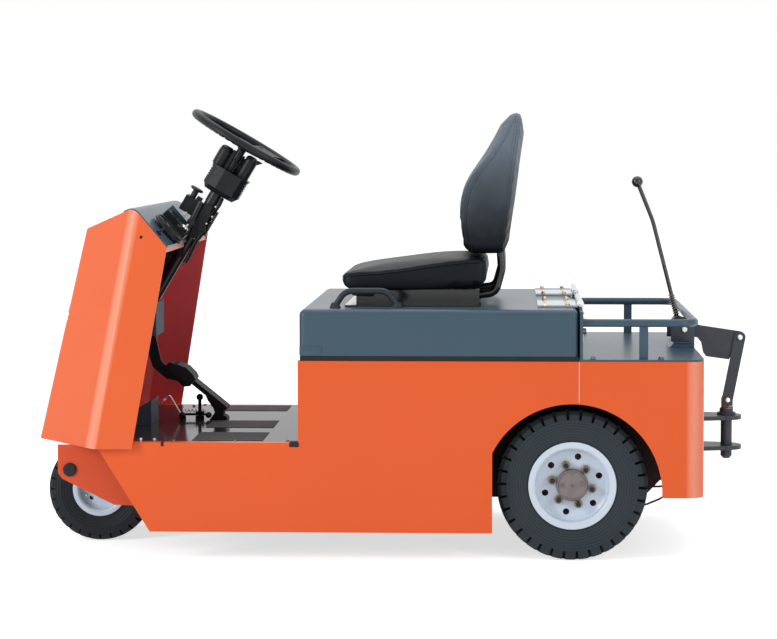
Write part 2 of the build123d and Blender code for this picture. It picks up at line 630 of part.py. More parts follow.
def make_pedals():
    """Hanging brake pedal with its pad, and the floor-hinged accelerator with its stop."""
    arm = prism_y([
        (-722, 700), (-706, 700), (-706, 594), (-688, 515), (-672, 497), (-640, 478), (-601, 456),
        (-601, 440),
        (-623, 438), (-641, 455), (-673, 462), (-712, 495), (-725, 535), (-722, 594),
    ], -54, -46)
    arm = fillet(arm.edges().filter_by(Axis.Y).filter_by(lambda e: e.center().Z < 690), 5)
    pad = prism_y([
        (-660, 488), (-650, 508), (-637, 507.4), (-610, 497.5), (-590, 477.6), (-583.4, 464), (-597, 448.5),
        (-630, 470),
    ], -90, -10)
    pad = fillet(pad.edges().filter_by(Axis.Y), 4)
    heel = prism_y([(-674, 501), (-660, 512), (-649, 508), (-655, 489)], -76, -24)
    save("brake_pedal", arm + pad + heel)

    treadle = prism_y([(-637, 455), (-630, 466), (-509, 368), (-509, 361), (-518, 358)], 40, 110)
    foot = prism_y([(-562, FLOOR_TOP), (-508, FLOOR_TOP), (-512, 338), (-522, 342), (-518, 362),
        (-532, 372), (-552, 384),
                    (-574, 402), (-566, 384), (-552, 366), (-546, 350)], 50, 100)
    stop = rod_z(-594, 75, 5, FLOOR_TOP, 390) + Pos(-594, 75, 393) * Sphere(10)
    for low, high in ((FLOOR_TOP, 337), (341, 350)):
        stop = stop + Pos(-594, 75, low) * extrude(RegularPolygon(13, 6), amount=high - low)
    save("accelerator_pedal", Compound(children=[treadle + foot, stop]))


# ---- hood, seat and handle ---------------------------------------------------------------
def make_hood():
    """Battery cover: a hollow pressing with rounded edges."""
    outer = box(HOOD_FRONT, HOOD_REAR, -HALF_WIDTH, HALF_WIDTH, HOOD_BOTTOM - 30, HOOD_TOP)
    upper = outer.edges().filter_by(lambda e: (e @ 0).Z + (e @ 1).Z > 2 * HOOD_BOTTOM - 20)
    outer = fillet(upper, HOOD_EDGE_R)
    outer = outer - box(-400, 700, -500, 500, 400, HOOD_BOTTOM)
    inner = box(HOOD_FRONT + SHEET, HOOD_REAR - SHEET, -HALF_WIDTH + SHEET, HALF_WIDTH - SHEET,
        HOOD_BOTTOM - 40,
                HOOD_TOP - SHEET)
    inner_upper = inner.edges().filter_by(lambda e: (e @ 0).Z + (e @ 1).Z > 2 * HOOD_BOTTOM - 20)
    inner = fillet(inner_upper, HOOD_EDGE_R - SHEET)
    save("hood", outer - inner)

    seal = box(HOOD_FRONT + 2, SEAM_X - 2, -HALF_WIDTH + 2, HALF_WIDTH - 2, BODY_TOP, HOOD_BOTTOM - 0.5)
    seal = seal - box(HOOD_FRONT + 26, SEAM_X - 26, -HALF_WIDTH + 26, HALF_WIDTH - 26, 500, 600)
    save("hood_seal", seal)


def make_hinges():
    """Two wide leaf hinges: moving leaves on the hood, fixed leaves on the bulkhead."""
    moving, fixed = [], []
    for y in HINGE_YS:
        leaf = box(HINGE_LEAF_FRONT, HOOD_REAR, y - HINGE_HALF, y + HINGE_HALF, HOOD_TOP, HOOD_TOP + 4)
        plate = box(HINGE_X + 4, HINGE_X + 8, y - HINGE_HALF, y + HINGE_HALF, 600, 690)
        pitch = HINGE_HALF * 0.4
        for i in range(5):
            y0 = y - HINGE_HALF + i * pitch + 0.6
            y1 = y0 + pitch - 1.2
            knuckle = rod_y(HINGE_X, HINGE_Z, 8.5, y0, y1)
            if i % 2:
                tab = box(HOOD_REAR - 8, HINGE_X - 4, y0, y1, HOOD_TOP, HOOD_TOP + 4)
                tab = tab + box(HINGE_X - 8, HINGE_X - 4, y0, y1, HOOD_TOP, HINGE_Z)
                leaf = leaf + (knuckle + tab - rod_y(HINGE_X, HINGE_Z, 3.8, y0 - 9, y1 + 9))
            else:
                plate = plate + knuckle + box(HINGE_X + 4, HINGE_X + 8, y0, y1, 680, HINGE_Z)
        plate = plate + rod_y(HINGE_X, HINGE_Z, 3.5, y - HINGE_HALF - 2, y + HINGE_HALF + 2)
        moving.append(leaf)
        fixed.append(plate)
    save("hinge_leaves", Compound(children=moving))
    save("hinge_plates", Compound(children=fixed))


def make_handle():
    """Moulded grab handle near the left edge of the hood: an arch on two flared feet."""
    radius, left_y, crown = 8.5, -364, HOOD_TOP + 46.5
    low = HOOD_TOP + 4
    ends = (-155, 17)
    arch = bent_tube([(ends[0], left_y, low), (ends[0] + 27, left_y, crown), (ends[1] - 27, left_y, crown),
                      (ends[1], left_y, low)], [40, 40], radius)
    for x in ends:
        foot = Pos(x, left_y, HOOD_TOP) * Cone(16, radius + 1, 15,
            align=(Align.CENTER, Align.CENTER, Align.MIN))
        arch = arch + foot
    save("grab_handle", arch)


def make_seat():
    """Seat base with slides, back tubes, cushion and backrest."""
    base = box(-131, 246, -330, 330, HOOD_TOP, HOOD_TOP + 5)
    for side in (-1, 1):
        base = base + box(-110, 240, side * 150 - 22, side * 150 + 22, HOOD_TOP + 5, 731.5)
        tube = bent_tube([(236, side * 150, 716), (285, side * 150, 722), (304, side * 150, 790),
                          (300, side * 150, 850)], [28, 60], 12)
        base = base + tube
    save("seat_frame", base)

    cushion = prism_y([(-150, 735), (255, 732), (262, 760), (250, 828), (180, 828), (20, 808), (-118, 788),
        (-146, 768)],
                      -232, 232)
    cushion = fillet(cushion.edges().filter_by(Axis.Y), 9)
    save("seat_cushion", cushion)

    back = prism_y([
        (228, 836), (196, 860), (182, 935), (190, 1000), (214, 1054), (255, 1098), (294, 1150), (332, 1234),
        (366, 1230), (358, 1128), (338, 975), (321, 849),
    ], -225, 225)
    for side in (-1, 1):
        cutter = Plane(origin=(0, side * 225, 1000), z_dir=(0, side, 0.32)) * Box(
            900, 900, 300, align=(Align.CENTER, Align.CENTER, Align.MIN))
        back = back - cutter
    for side in (-1, 1):
        back = back - box(284, 330, side * 150 - 20, side * 150 + 20, 800, 866)
    save("seat_backrest", back)


# ---- rear deck and hitch -----------------------------------------------------------------
def make_deck():
    """Rear deck plate, bulkhead behind the hood and the tube rail with its posts."""
    deck = box(SEAM_X, REAR_END - 1, -HALF_WIDTH + 1, HALF_WIDTH - 1, BODY_TOP, DECK_TOP)
    deck = fillet(deck.edges().filter_by(Axis.Z).group_by(Axis.X)[-1], REAR_CORNER_R)
    save("deck_plate", deck)
    save("bulkhead", box(BULKHEAD_X, BULKHEAD_X + 8, -HALF_WIDTH + 1, HALF_WIDTH - 1, DECK_TOP, 689))

    rail = bent_tube([(BULKHEAD_X + 8, -RAIL_Y, RAIL_Z), (RAIL_REAR, -RAIL_Y, RAIL_Z),
        (RAIL_REAR, RAIL_Y, RAIL_Z),
                      (BULKHEAD_X + 8, RAIL_Y, RAIL_Z)], [RAIL_BEND, RAIL_BEND], RAIL_R)
    for side in (-1, 1):
        rail = rail + box(680, 704.4, side * RAIL_Y - 3, side * RAIL_Y + 3, DECK_TOP, RAIL_Z)
    save("rear_rail", rail)


def make_lever_bracket():
    """Base block on the deck, two cheeks welded to it and the shaft that carries the lever."""
    base = prism_y([(786, DECK_TOP), (858, DECK_TOP), (858, BASE_TOP), (798, BASE_TOP)], -CHEEK_Y - 4,
        CHEEK_Y + 4)
    bracket = base
    for side in (-1, 1):
        y = side * CHEEK_Y
        cheek = prism_y([(802, BASE_TOP - 1), (858, BASE_TOP - 1), (858, 622), (848, 636), (817, 636),
            (805, 622)], y - 4, y + 4)
        bracket = bracket + cheek
    save("lever_bracket", bracket + rod_y(LEVER_X, LEVER_Z, 8, -CHEEK_Y - 12, CHEEK_Y + 12))


def make_lever():
    """Arm plate with its hub, the bent rod and the ball knob."""
    arm = prism_y([
        (LEVER_X + 8, 633), (880, 617.6), (ARM_X + 2, 600), (ARM_X + 14, 590), (ARM_X + 12, 574),
        (ARM_X - 8, 572),
        (965, 518), (898, 527), (890, 538), (884, 568), (872, 582), (LEVER_X, 589),
    ], -5, 5)
    arm = arm + rod_y(ARM_X, ARM_Z, 16, -5, 5)
    arm = arm + rod_y(LEVER_X, LEVER_Z, 22, -60, 60) + rod_y(BOSS_X, BOSS_Z, BOSS_R, -26, 26)
    arm = arm - rod_y(LEVER_X, LEVER_Z, 8.4, -100, 100) - rod_y(ARM_X, ARM_Z, 6.4, -20, 20)
    save("lever_arm", arm)

    rod_part = bent_tube([(817, 0, 626), (809, 0, 660), (742, 0, 921.5), (696.5, 0, 1035)], [40, 200], 6)
    rod_part = rod_part - rod_y(LEVER_X, LEVER_Z, 22.2, -100, 100) - rod_y(BOSS_X, BOSS_Z, BOSS_R + 0.2,
        -100, 100)
    rod_part = rod_part - box(800, 900, -50, 50, 500, 633.2)
    knob = Pos(696.5, 0, 1035) * Sphere(16.5)
    save("lever_rod", rod_part + knob)


def make_hitch():
    """Tongue plates on the rear wall, the pin with its flattened head and the hanging link."""
    tongue = box(REAR_END, REAR_END + 8, -90, 90, 240, 375)
    for top in TONGUE_TOPS:
        plate = prism_z([(REAR_END + 6, -65), (PIN_X - 8, -48), (PIN_X - 8, 48), (REAR_END + 6, 65)],
            top - TONGUE_THICK, top)
        nose = rod_z(PIN_X, 0, 43.5, top - TONGUE_THICK, top)
        tongue = tongue + plate + nose
    tongue = tongue - rod_z(PIN_X, 0, PIN_R + 1.5, 200, 400)
    save("hitch_tongue", tongue)

    pin = rod_z(PIN_X, 0, PIN_R, 237, 364)
    pin = pin + Pos(PIN_X, 0, 229) * Cone(PIN_R - 7, PIN_R, 8, align=(Align.CENTER, Align.CENTER, Align.MIN))
    pin = pin + rod_z(PIN_X, 0, 27, TONGUE_TOPS[0] + 0.4, TONGUE_TOPS[0] + 7)
    pin = pin + box(PIN_X - 15, PIN_X + 18, -6, 6, 360, LINK_Z) + rod_y(LINK_X, LINK_Z, 16.5, -6, 6)
    pin = pin + rod_z(PIN_X, 0, 20, TONGUE_TOPS[0] + 6, TONGUE_TOPS[0] + 18) + rod_y(LINK_X, LINK_Z, 6.5, 5,
        12)
    save("hitch_pin", pin)

    eye, top = Vector(LINK_X, 0, LINK_Z), Vector(ARM_X, 0, ARM_Z)
    along = (top - eye).normalized()
    across = Vector(along.Z, 0, -along.X)
    corners = [eye - across * 16, eye + across * 16, top + across * 16, top - across * 16]
    bar = prism_y([(c.X, c.Z) for c in corners], -12.6, -6.6)
    for point in (eye, top):
        bar = bar + rod_y(point.X, point.Z, 16, -12.6, -6.6)
    bar = bar + rod_y(eye.X, eye.Z, 6.5, -19, -12)
    bar = bar + rod_y(top.X, top.Z, 6, -19, 13) + rod_y(top.X, top.Z, 6.9, -19, -12)
    save("hitch_link", bar)


# ---- drive, battery, cables, lamps -------------------------------------------------------
def make_drive():
    """Driven axle with its gearbox, brake plates and ribbed motor, and the battery."""
    axle = rod_y(WHEEL_X, WHEEL_Z, 34, -258, 258)
    case = turned([(0, -60), (60, -60), (92, -34), (92, 34), (60, 60), (0, 60)], 0, 1)
    axle = axle + Pos(WHEEL_X, 0, WHEEL_Z) * case
    axle = axle + rod((WHEEL_X + 40, 0, MOTOR_Z), (WHEEL_X + 115, 0, MOTOR_Z), 70)
    axle = axle + rod((WHEEL_X + 110, 0, MOTOR_Z), (WHEEL_X + 265, 0, MOTOR_Z), 82)
    for x in (WHEEL_X + 110, WHEEL_X + 255):
        axle = axle + rod((x, 0, MOTOR_Z), (x + 10, 0, MOTOR_Z), 88)
    for side in (-1, 1):
        axle = axle + rod_y(WHEEL_X, WHEEL_Z, 88, side * 250, side * 261.5)
        axle = axle + rod_y(WHEEL_X, WHEEL_Z, 30, side * 255, side * 275.5)
        axle = axle + box(WHEEL_X - 50, WHEEL_X + 50, side * 220 - 20, side * 220 + 20, WHEEL_Z, 300)
    save("drive_axle", axle)
    save("battery", box(-235, 240, -365, 365, 96, 530))


def make_cables():
    """Two brake cables that hang in an arc from the brake plates to the rear cross plate."""
    upper = bent_tube([(600, -248, 172), (650, -252, 176), (705, -253, 184), (755, -250, 184),
        (790, -244, 196)],
                      [60, 120, 60], 3.0)
    lower = bent_tube([(600, -230, 150), (650, -234, 128), (705, -236, 128), (755, -232, 148),
        (795, -226, 182)],
                      [60, 60, 70], 3.0)
    save("brake_cables", Compound(children=[upper, lower]))


def make_lamps():
    """Two head lamps in the nose and two small tail lamps in the rear wall."""
    lean = Vector(NOSE_HIGH - NOSE_LOW, 0, NOSE_TOP - COWL_BOTTOM).normalized()
    t = (LAMP_Z - COWL_BOTTOM) / (NOSE_TOP - COWL_BOTTOM)
    x = NOSE_LOW + (NOSE_HIGH - NOSE_LOW) * t
    lamps = []
    for side in (-1, 1):
        plane = Plane(origin=(x, side * 130, LAMP_Z), x_dir=(0, 1, 0), z_dir=(-lean.Z, 0, lean.X))
        lamps.append(plane * Pos(0, 0, 4.3) * Cylinder(62, 8))
        lamps.append(Pos(REAR_END + 4.3, side * 300, 480) * Cylinder(34, 8, rotation=(0, 90, 0)))
    save("lamps", Compound(children=lamps))


# ---- main --------------------------------------------------------------------------------
def main():
    make_rear_wheels()
    make_front_unit()
    make_chassis_frame()
    make_platform_bearers()
    make_steering_head()
    make_axle_frame()
    make_side_panels()
    make_rear_body()
    make_floor()
    make_nose_plates()
    make_cowl()
    make_dash()
    make_column()
    make_switch_housing()
    make_control_box()
    make_covers()
    make_steering_wheel()
    make_pedals()
    make_hood()
    make_hinges()
    make_handle()
    make_seat()
    make_deck()
    make_lever_bracket()
    make_lever()
    make_hitch()
    make_drive()
    make_cables()
    make_lamps()


main()
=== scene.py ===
"""Looks of the sit-on electric tow tractor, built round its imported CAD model."""
import json
import logging
import math
from contextlib import contextmanager
from dataclasses import dataclass, field
from enum import Enum
from typing import Iterable, Iterator

import bpy
from mathutils import Matrix, Vector
from mathutils.kdtree import KDTree


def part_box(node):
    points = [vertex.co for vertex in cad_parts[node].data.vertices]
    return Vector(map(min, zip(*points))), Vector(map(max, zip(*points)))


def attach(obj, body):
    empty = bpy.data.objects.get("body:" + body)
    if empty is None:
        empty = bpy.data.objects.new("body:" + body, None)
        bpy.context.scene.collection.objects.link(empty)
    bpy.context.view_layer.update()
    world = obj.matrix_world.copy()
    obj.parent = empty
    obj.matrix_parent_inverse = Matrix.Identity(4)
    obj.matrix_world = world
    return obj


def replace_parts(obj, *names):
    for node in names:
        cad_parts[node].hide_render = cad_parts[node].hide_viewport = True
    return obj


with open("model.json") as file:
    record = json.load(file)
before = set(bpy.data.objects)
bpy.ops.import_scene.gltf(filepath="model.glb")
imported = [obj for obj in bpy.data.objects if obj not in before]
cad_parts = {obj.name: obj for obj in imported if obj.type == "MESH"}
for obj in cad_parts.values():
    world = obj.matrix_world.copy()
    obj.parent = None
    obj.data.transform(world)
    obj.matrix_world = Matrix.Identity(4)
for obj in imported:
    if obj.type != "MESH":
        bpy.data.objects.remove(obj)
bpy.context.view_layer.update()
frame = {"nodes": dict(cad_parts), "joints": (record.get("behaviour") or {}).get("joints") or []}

logging.basicConfig(level=logging.INFO, format="%(message)s")
LOG = logging.getLogger("tow_tractor")
Colour = tuple[float, float, float]
Point = tuple[float, float, float]
Profile = tuple[tuple[float, float], ...]
Piece = bpy.types.Object


# ---- shader maths ------------------------------------------------------------------------
def shade(colour: Colour, factor: float) -> Colour:
    """Return a colour made lighter or darker."""
    return tuple(min(1.0, part * factor) for part in colour)


class Value:
    """A shader socket that takes part in Python arithmetic."""

    def __init__(self, graph: "Graph", socket: bpy.types.NodeSocket) -> None:
        """Keep the graph and the socket.

        Args:
            graph: The graph that holds the socket's node.
            socket: An output socket.
        """
        self.graph = graph
        self.socket = socket

    def _math(self, operation: str, first: "Value | float", second: "Value | float" = 0.0) -> "Value":
        """Add a Math node.

        Args:
            operation: The node's operation.
            first: Left operand.
            second: Right operand.

        Returns:
            The node's result.
        """
        node = self.graph.node("ShaderNodeMath", {"operation": operation}, {0: first, 1: second})
        return Value(self.graph, node.outputs[0])

    def __add__(self, other: "Value | float") -> "Value":
        """Return the sum."""
        return self._math("ADD", self, other)

    def __radd__(self, other: float) -> "Value":
        """Return the sum."""
        return self._math("ADD", other, self)

    def __sub__(self, other: "Value | float") -> "Value":
        """Return the difference."""
        return self._math("SUBTRACT", self, other)

    def __rsub__(self, other: float) -> "Value":
        """Return the difference, reflected."""
        return self._math("SUBTRACT", other, self)

    def __mul__(self, other: "Value | float") -> "Value":
        """Return the product."""
        return self._math("MULTIPLY", self, other)

    def __rmul__(self, other: float) -> "Value":
        """Return the product."""
        return self._math("MULTIPLY", other, self)

    def __truediv__(self, other: "Value | float") -> "Value":
        """Return the quotient."""
        return self._math("DIVIDE", self, other)

    def __pow__(self, other: float) -> "Value":
        """Return the power."""
        return self._math("POWER", self, other)

    def __gt__(self, other: "Value | float") -> "Value":
        """Return 1 where this is greater."""
        return self._math("GREATER_THAN", self, other)

    def __lt__(self, other: "Value | float") -> "Value":
        """Return 1 where this is less."""
        return self._math("LESS_THAN", self, other)

    def sine(self) -> "Value":
        """Return the sine of this value."""
        return self._math("SINE", self)

    def clamped(self) -> "Value":
        """Return this value kept between 0 and 1."""
        return self._math("MINIMUM", self._math("MAXIMUM", self, 0.0), 1.0)


class Graph:
    """A material's node tree around one Principled shader."""

    def __init__(self, name: str) -> None:
        """Make an empty material with its shader and output.

        Args:
            name: The material's name.
        """
        self.material = bpy.data.materials.new(name)
        self.material.use_nodes = True
        self.tree = self.material.node_tree
        self.tree.nodes.clear()
        output = self.tree.nodes.new("ShaderNodeOutputMaterial")
        self.shader = self.tree.nodes.new("ShaderNodeBsdfPrincipled")
        self.tree.links.new(self.shader.outputs[0], output.inputs[0])
        self.place = Value(self, self.tree.nodes.new("ShaderNodeTexCoord").outputs["Object"])

    def node(self, kind: str, settings: dict | None = None, inputs: dict | None = None) -> bpy.types.Node:
        """Add a node.

        Args:
            kind: The node's type.
            settings: Its properties, set first.
            inputs: Values or links by socket name or number.

        Returns:
            The node.
        """
        made = self.tree.nodes.new(kind)
        for key, setting in (settings or {}).items():
            setattr(made, key, setting)
        for key, given in (inputs or {}).items():
            if isinstance(given, Value):
                self.tree.links.new(given.socket, made.inputs[key])
            else:
                socket = made.inputs[key]
                is_colour = socket.type == "RGBA" and len(given) == 3
                socket.default_value = (*given, 1.0) if is_colour else given
        return made

    def noise(self, scale: float, detail: float = 2.0, roughness: float = 0.5,
              place: Value | None = None) -> Value:
        """Return a noise value from 0 to 1.

        Args:
            scale: Cycles per metre.
            detail: Number of octaves.
            roughness: Weight of the finer octaves.
            place: Coordinates, or the object's own.

        Returns:
            The noise factor.
        """
        made = self.node("ShaderNodeTexNoise", None, {
            "Vector": place or self.place, "Scale": scale, "Detail": detail, "Roughness": roughness})
        return Value(self, made.outputs[0])

    def cells(self, scale: float, feature: str = "F1") -> Value:
        """Return a distance from Voronoi cells.

        Args:
            scale: Cells per metre.
            feature: F1 or DISTANCE_TO_EDGE.

        Returns:
            The distance.
        """
        made = self.node("ShaderNodeTexVoronoi", {"feature": feature}, {"Vector": self.place, "Scale": scale})
        return Value(self, made.outputs["Distance"])

    def parts(self, vector: Value) -> tuple[Value, Value, Value]:
        """Return a vector's X, Y and Z."""
        split = self.node("ShaderNodeSeparateXYZ", None, {0: vector})
        return tuple(Value(self, out) for out in split.outputs)

    def axes(self) -> tuple[Value, Value, Value]:
        """Return the object's X, Y and Z coordinates."""
        return self.parts(self.place)

    def radius_about(self, x: float, z: float) -> Value:
        """Return the distance from an axis along Y.

        Args:
            x: The axis' X in metres.
            z: The axis' Z in metres.

        Returns:
            The distance in metres.
        """
        here_x, _, here_z = self.axes()
        across, up = here_x - x, here_z - z
        return (across * across + up * up) ** 0.5

    def blend(self, factor: "Value | float", first: "Value | Colour", second: "Value | Colour") -> Value:
        """Return a mix of two colours.

        Args:
            factor: 0 for the first, 1 for the second.
            first: A colour.
            second: A colour.

        Returns:
            The mixed colour.
        """
        made = self.node("ShaderNodeMix", {"data_type": "RGBA"}, {0: factor, 6: first, 7: second})
        return Value(self, made.outputs[2])

    def tones(self, factor: Value, colour: Colour, low: float, high: float) -> Value:
        """Return a colour that goes from darker to lighter with a factor.

        Args:
            factor: 0 for the low shade, 1 for the high one.
            colour: The colour.
            low: Share of the colour's brightness at 0.
            high: Share of the colour's brightness at 1.

        Returns:
            The shaded colour.
        """
        return self.blend(factor, shade(colour, low), shade(colour, high))

    def waves(self, distance: Value, pitch: float) -> Value:
        """Return waves from 0 to 1 along a distance, with their pitch in metres."""
        return (distance * (2 * math.pi / pitch)).sine() * 0.5 + 0.5

    def between(self, factor: Value, low: float, high: float) -> Value:
        """Return a number that goes from low to high with the factor."""
        return factor * (high - low) + low

    def relief(self, height: Value, depth: float, strength: float = 1.0) -> None:
        """Feed a bump of the given height into the shader.

        Args:
            height: Height from 0 to 1.
            depth: Metres for a height of 1.
            strength: Share of the bump that is used.
        """
        bump = self.node("ShaderNodeBump", None, {"Strength": strength, "Distance": depth, "Height": height})
        self.tree.links.new(bump.outputs[0], self.shader.inputs["Normal"])

    def feed(self, socket: str, given: "Value | Colour | float") -> None:
        """Set or link one of the shader's sockets."""
        target = self.shader.inputs[socket]
        if isinstance(given, Value):
            self.tree.links.new(given.socket, target)
        elif isinstance(given, tuple):
            target.default_value = (*given, 1.0)
        else:
            target.default_value = given

    def surface(self, base: "Value | Colour", roughness: "Value | float", metallic: float = 0.0,
                shine: float = 0.5, coat: float = 0.0, coat_roughness: float = 0.03) -> None:
        """Feed the shader's main sockets.

        Args:
            base: The colour.
            roughness: 0 for a mirror, 1 for chalk.
            metallic: 1 for bare metal.
            shine: Level of the mirror-like highlight.
            coat: Weight of the clear coat.
            coat_roughness: The clear coat's own roughness.
        """
        self.feed("Base Color", base)
        self.feed("Roughness", roughness)
        self.feed("Metallic", metallic)
        self.feed("Specular IOR Level", shine)
        self.feed("Coat Weight", coat)
        self.feed("Coat Roughness", coat_roughness)


# ---- finishes ----------------------------------------------------------------------------
@dataclass(frozen=True)
class Finish:
    """A named finish of one colour."""

    name: str
    colour: Colour

    def paint(self, graph: Graph) -> None:
        """Feed the shader; each kind of finish does it in its own way."""
        raise NotImplementedError

    def make(self) -> bpy.types.Material:
        """Build the material.

        Returns:
            The material.
        """
        graph = Graph(self.name)
        self.paint(graph)
        return graph.material


@dataclass(frozen=True)
class SprayPaint(Finish):
    """Sprayed paint on sheet steel: a little drift in colour, orange peel and a clear coat."""

    roughness: float = 0.32
    coat: float = 0.35
    shine: float = 0.3
    peel: float = 0.00012
    drift: float = 0.05

    def sprayed(self, graph: Graph, cloud: Value) -> Value:
        """Return the paint's colour with its drift."""
        return graph.tones(cloud, self.colour, 1.0 - self.drift, 1.0 + self.drift)

    def lacquer(self, graph: Graph, base: Value, grain: Value) -> None:
        """Put the colour under a clear coat with orange peel.

        Args:
            graph: The material's graph.
            base: The paint's colour.
            grain: 0 where the coat is smoothest, 1 where it is roughest.
        """
        graph.surface(base, graph.between(grain, self.roughness - 0.05, self.roughness + 0.07),
                      shine=self.shine, coat=self.coat, coat_roughness=0.12)
        peel = graph.noise(260.0, 1.5) * 0.7 + graph.noise(900.0, 1.0) * 0.3
        graph.relief(peel, self.peel, 0.6)

    def paint(self, graph: Graph) -> None:
        """Spray one even coat."""
        cloud = graph.noise(2.3, 3.0)
        speck = graph.noise(160.0, 2.0)
        self.lacquer(graph, self.sprayed(graph, cloud), cloud * 0.6 + speck * 0.4)


@dataclass(frozen=True)
class BendHighlightPaint(SprayPaint):
    """Sprayed sheet with a painted highlight band along one bend, and a redder colour on its inward faces."""

    inward_colour: Colour = (0.92, 0.13, 0.14)
    # colour of the painted highlight along the bend
    bright: Colour = (0.90, 0.34, 0.22)
    centre_x: float = -0.79
    bend_x: float = -0.8833
    bend_slope: float = 0.182
    band_half: float = 0.020
    band_from_y: float = 0.3606

    def paint(self, graph: Graph) -> None:
        """Spray the outside, paint the highlight along the bend and colour the inward faces redder."""
        cloud = graph.noise(2.3, 3.0)
        x, y, z = graph.axes()
        away = x - z * self.bend_slope - self.bend_x
        # painted highlight: a paler band along the bend line, on the sides beyond band_from_y
        highlight_band = (away * away * (-1.0 / self.band_half ** 2) + 1.0).clamped() * (y * y > self.band_from_y ** 2)
        outer = graph.blend(highlight_band * 0.75, self.sprayed(graph, cloud), self.bright)
        inner = graph.tones(graph.noise(6.0, 4.0), self.inward_colour, 0.85, 1.0)
        normal = Value(graph, graph.node("ShaderNodeNewGeometry").outputs["Normal"])
        normal_x, normal_y, _ = graph.parts(normal)
        inward = (normal_x * (x - self.centre_x) + normal_y * y) < -0.02
        self.lacquer(graph, graph.blend(inward, outer, inner), graph.noise(160.0, 2.0))


@dataclass(frozen=True)
class PowderCoat(Finish):
    """Textured powder coat on forged and cut steel, paler where it is handled."""

    roughness: float = 0.42
    shine: float = 0.25
    texture: float = 0.0002

    def paint(self, graph: Graph) -> None:
        """Coat the steel."""
        cloud = graph.noise(9.0, 3.0)
        rub = (graph.noise(34.0, 4.0, 0.65) - 0.56).clamped() * 3.0
        base = graph.tones(cloud, self.colour, 0.85, 1.18)
        base = graph.blend(rub.clamped(), base, shade(self.colour, 1.5))
        rough = graph.between(cloud, self.roughness - 0.07, self.roughness + 0.08)
        graph.surface(base, rough, shine=self.shine)
        graph.relief(graph.noise(700.0, 2.0), self.texture, 0.7)


@dataclass(frozen=True)
class MouldedPlastic(Finish):
    """Moulded plastic with a fine spark-eroded grain."""

    roughness: float = 0.42
    shine: float = 0.22
    grain: float = 1600.0
    depth: float = 0.00012

    def paint(self, graph: Graph) -> None:
        """Grain the plastic."""
        cloud = graph.noise(14.0, 3.0)
        pits = graph.cells(self.grain)
        rough = graph.between(cloud * 0.5 + pits * 0.5, self.roughness - 0.06, self.roughness + 0.1)
        graph.surface(graph.tones(cloud, self.colour, 0.85, 1.2), rough, shine=self.shine)
        graph.relief(pits, self.depth, 0.5)


@dataclass(frozen=True)
class TyreRubber(Finish):
    """Tyre rubber with moulded rings round its axle and a duller, paler tread."""

    axle: tuple[float, float]
    radius: float
    ring_pitch: float = 0.0080
    wall: tuple[float, float] = (0.60, 0.88)
    tread_from: float = 0.84

    def paint(self, graph: Graph) -> None:
        """Ring the wall and dust the tread."""
        out = graph.radius_about(*self.axle)
        inner, outer = self.wall
        wall = (out < self.radius * outer) * (out > self.radius * inner)
        rings = graph.waves(out, self.ring_pitch) * wall
        dust = ((out / self.radius - self.tread_from) * 5.0).clamped() * graph.noise(46.0, 4.0, 0.6)
        cloud = graph.noise(20.0, 4.0, 0.6)
        base = graph.tones(cloud, self.colour, 0.8, 1.2)
        base = graph.blend(rings * 0.55, base, shade(self.colour, 1.9))
        base = graph.blend(dust, base, shade(self.colour, 1.7))
        graph.surface(base, graph.between(cloud, 0.5, 0.68), shine=0.2)
        graph.relief(rings * 0.7 + graph.noise(420.0, 3.0) * 0.3, 0.0012, 0.8)


@dataclass(frozen=True)
class TurnedIron(Finish):
    """Iron turned about an axle, with tool rings and a little brown bloom."""

    axle: tuple[float, float]
    tool_pitch: float = 0.0016

    def paint(self, graph: Graph) -> None:
        """Ring the iron and let it bloom."""
        rings = graph.waves(graph.radius_about(*self.axle), self.tool_pitch)
        bloom = graph.noise(30.0, 5.0, 0.65)
        rough = graph.between(bloom, 0.34, 0.58)
        graph.surface(graph.tones(bloom, self.colour, 0.65, 1.45), rough, metallic=0.55)
        graph.relief(rings * 0.5 + bloom * 0.5, 0.00016, 0.7)


@dataclass(frozen=True)
class Casting(Finish):
    """Bare machined iron with a brown bloom, cloudier where hands and rags have been."""

    def paint(self, graph: Graph) -> None:
        """Let the iron bloom."""
        bloom = graph.noise(38.0, 5.0, 0.68)
        speck = graph.noise(420.0, 3.0, 0.6)
        rough = graph.between(bloom * 0.7 + speck * 0.3, 0.26, 0.55)
        graph.surface(graph.tones(bloom, self.colour, 0.6, 1.5), rough, metallic=0.6)
        graph.relief(bloom * 0.4 + speck * 0.6, 0.00022, 0.7)


@dataclass(frozen=True)
class Plating(Finish):
    """Zinc, brass or passivated plating on small parts, with fine brush lines along Y."""

    roughness: float = 0.28
    brush: float = 900.0
    stretch: Point = (1.0, 0.06, 1.0)

    def paint(self, graph: Graph) -> None:
        """Brush the plating."""
        stretched = graph.node("ShaderNodeMapping", None, {"Vector": graph.place, "Scale": self.stretch})
        lines = graph.noise(self.brush, 2.0, 0.5, Value(graph, stretched.outputs[0]))
        cloud = graph.noise(60.0, 3.0)
        rough = graph.between(lines * 0.6 + cloud * 0.4, self.roughness - 0.08, self.roughness + 0.14)
        graph.surface(graph.tones(cloud, self.colour, 0.82, 1.1), rough, metallic=1.0)
        graph.relief(lines, 0.00005, 0.6)


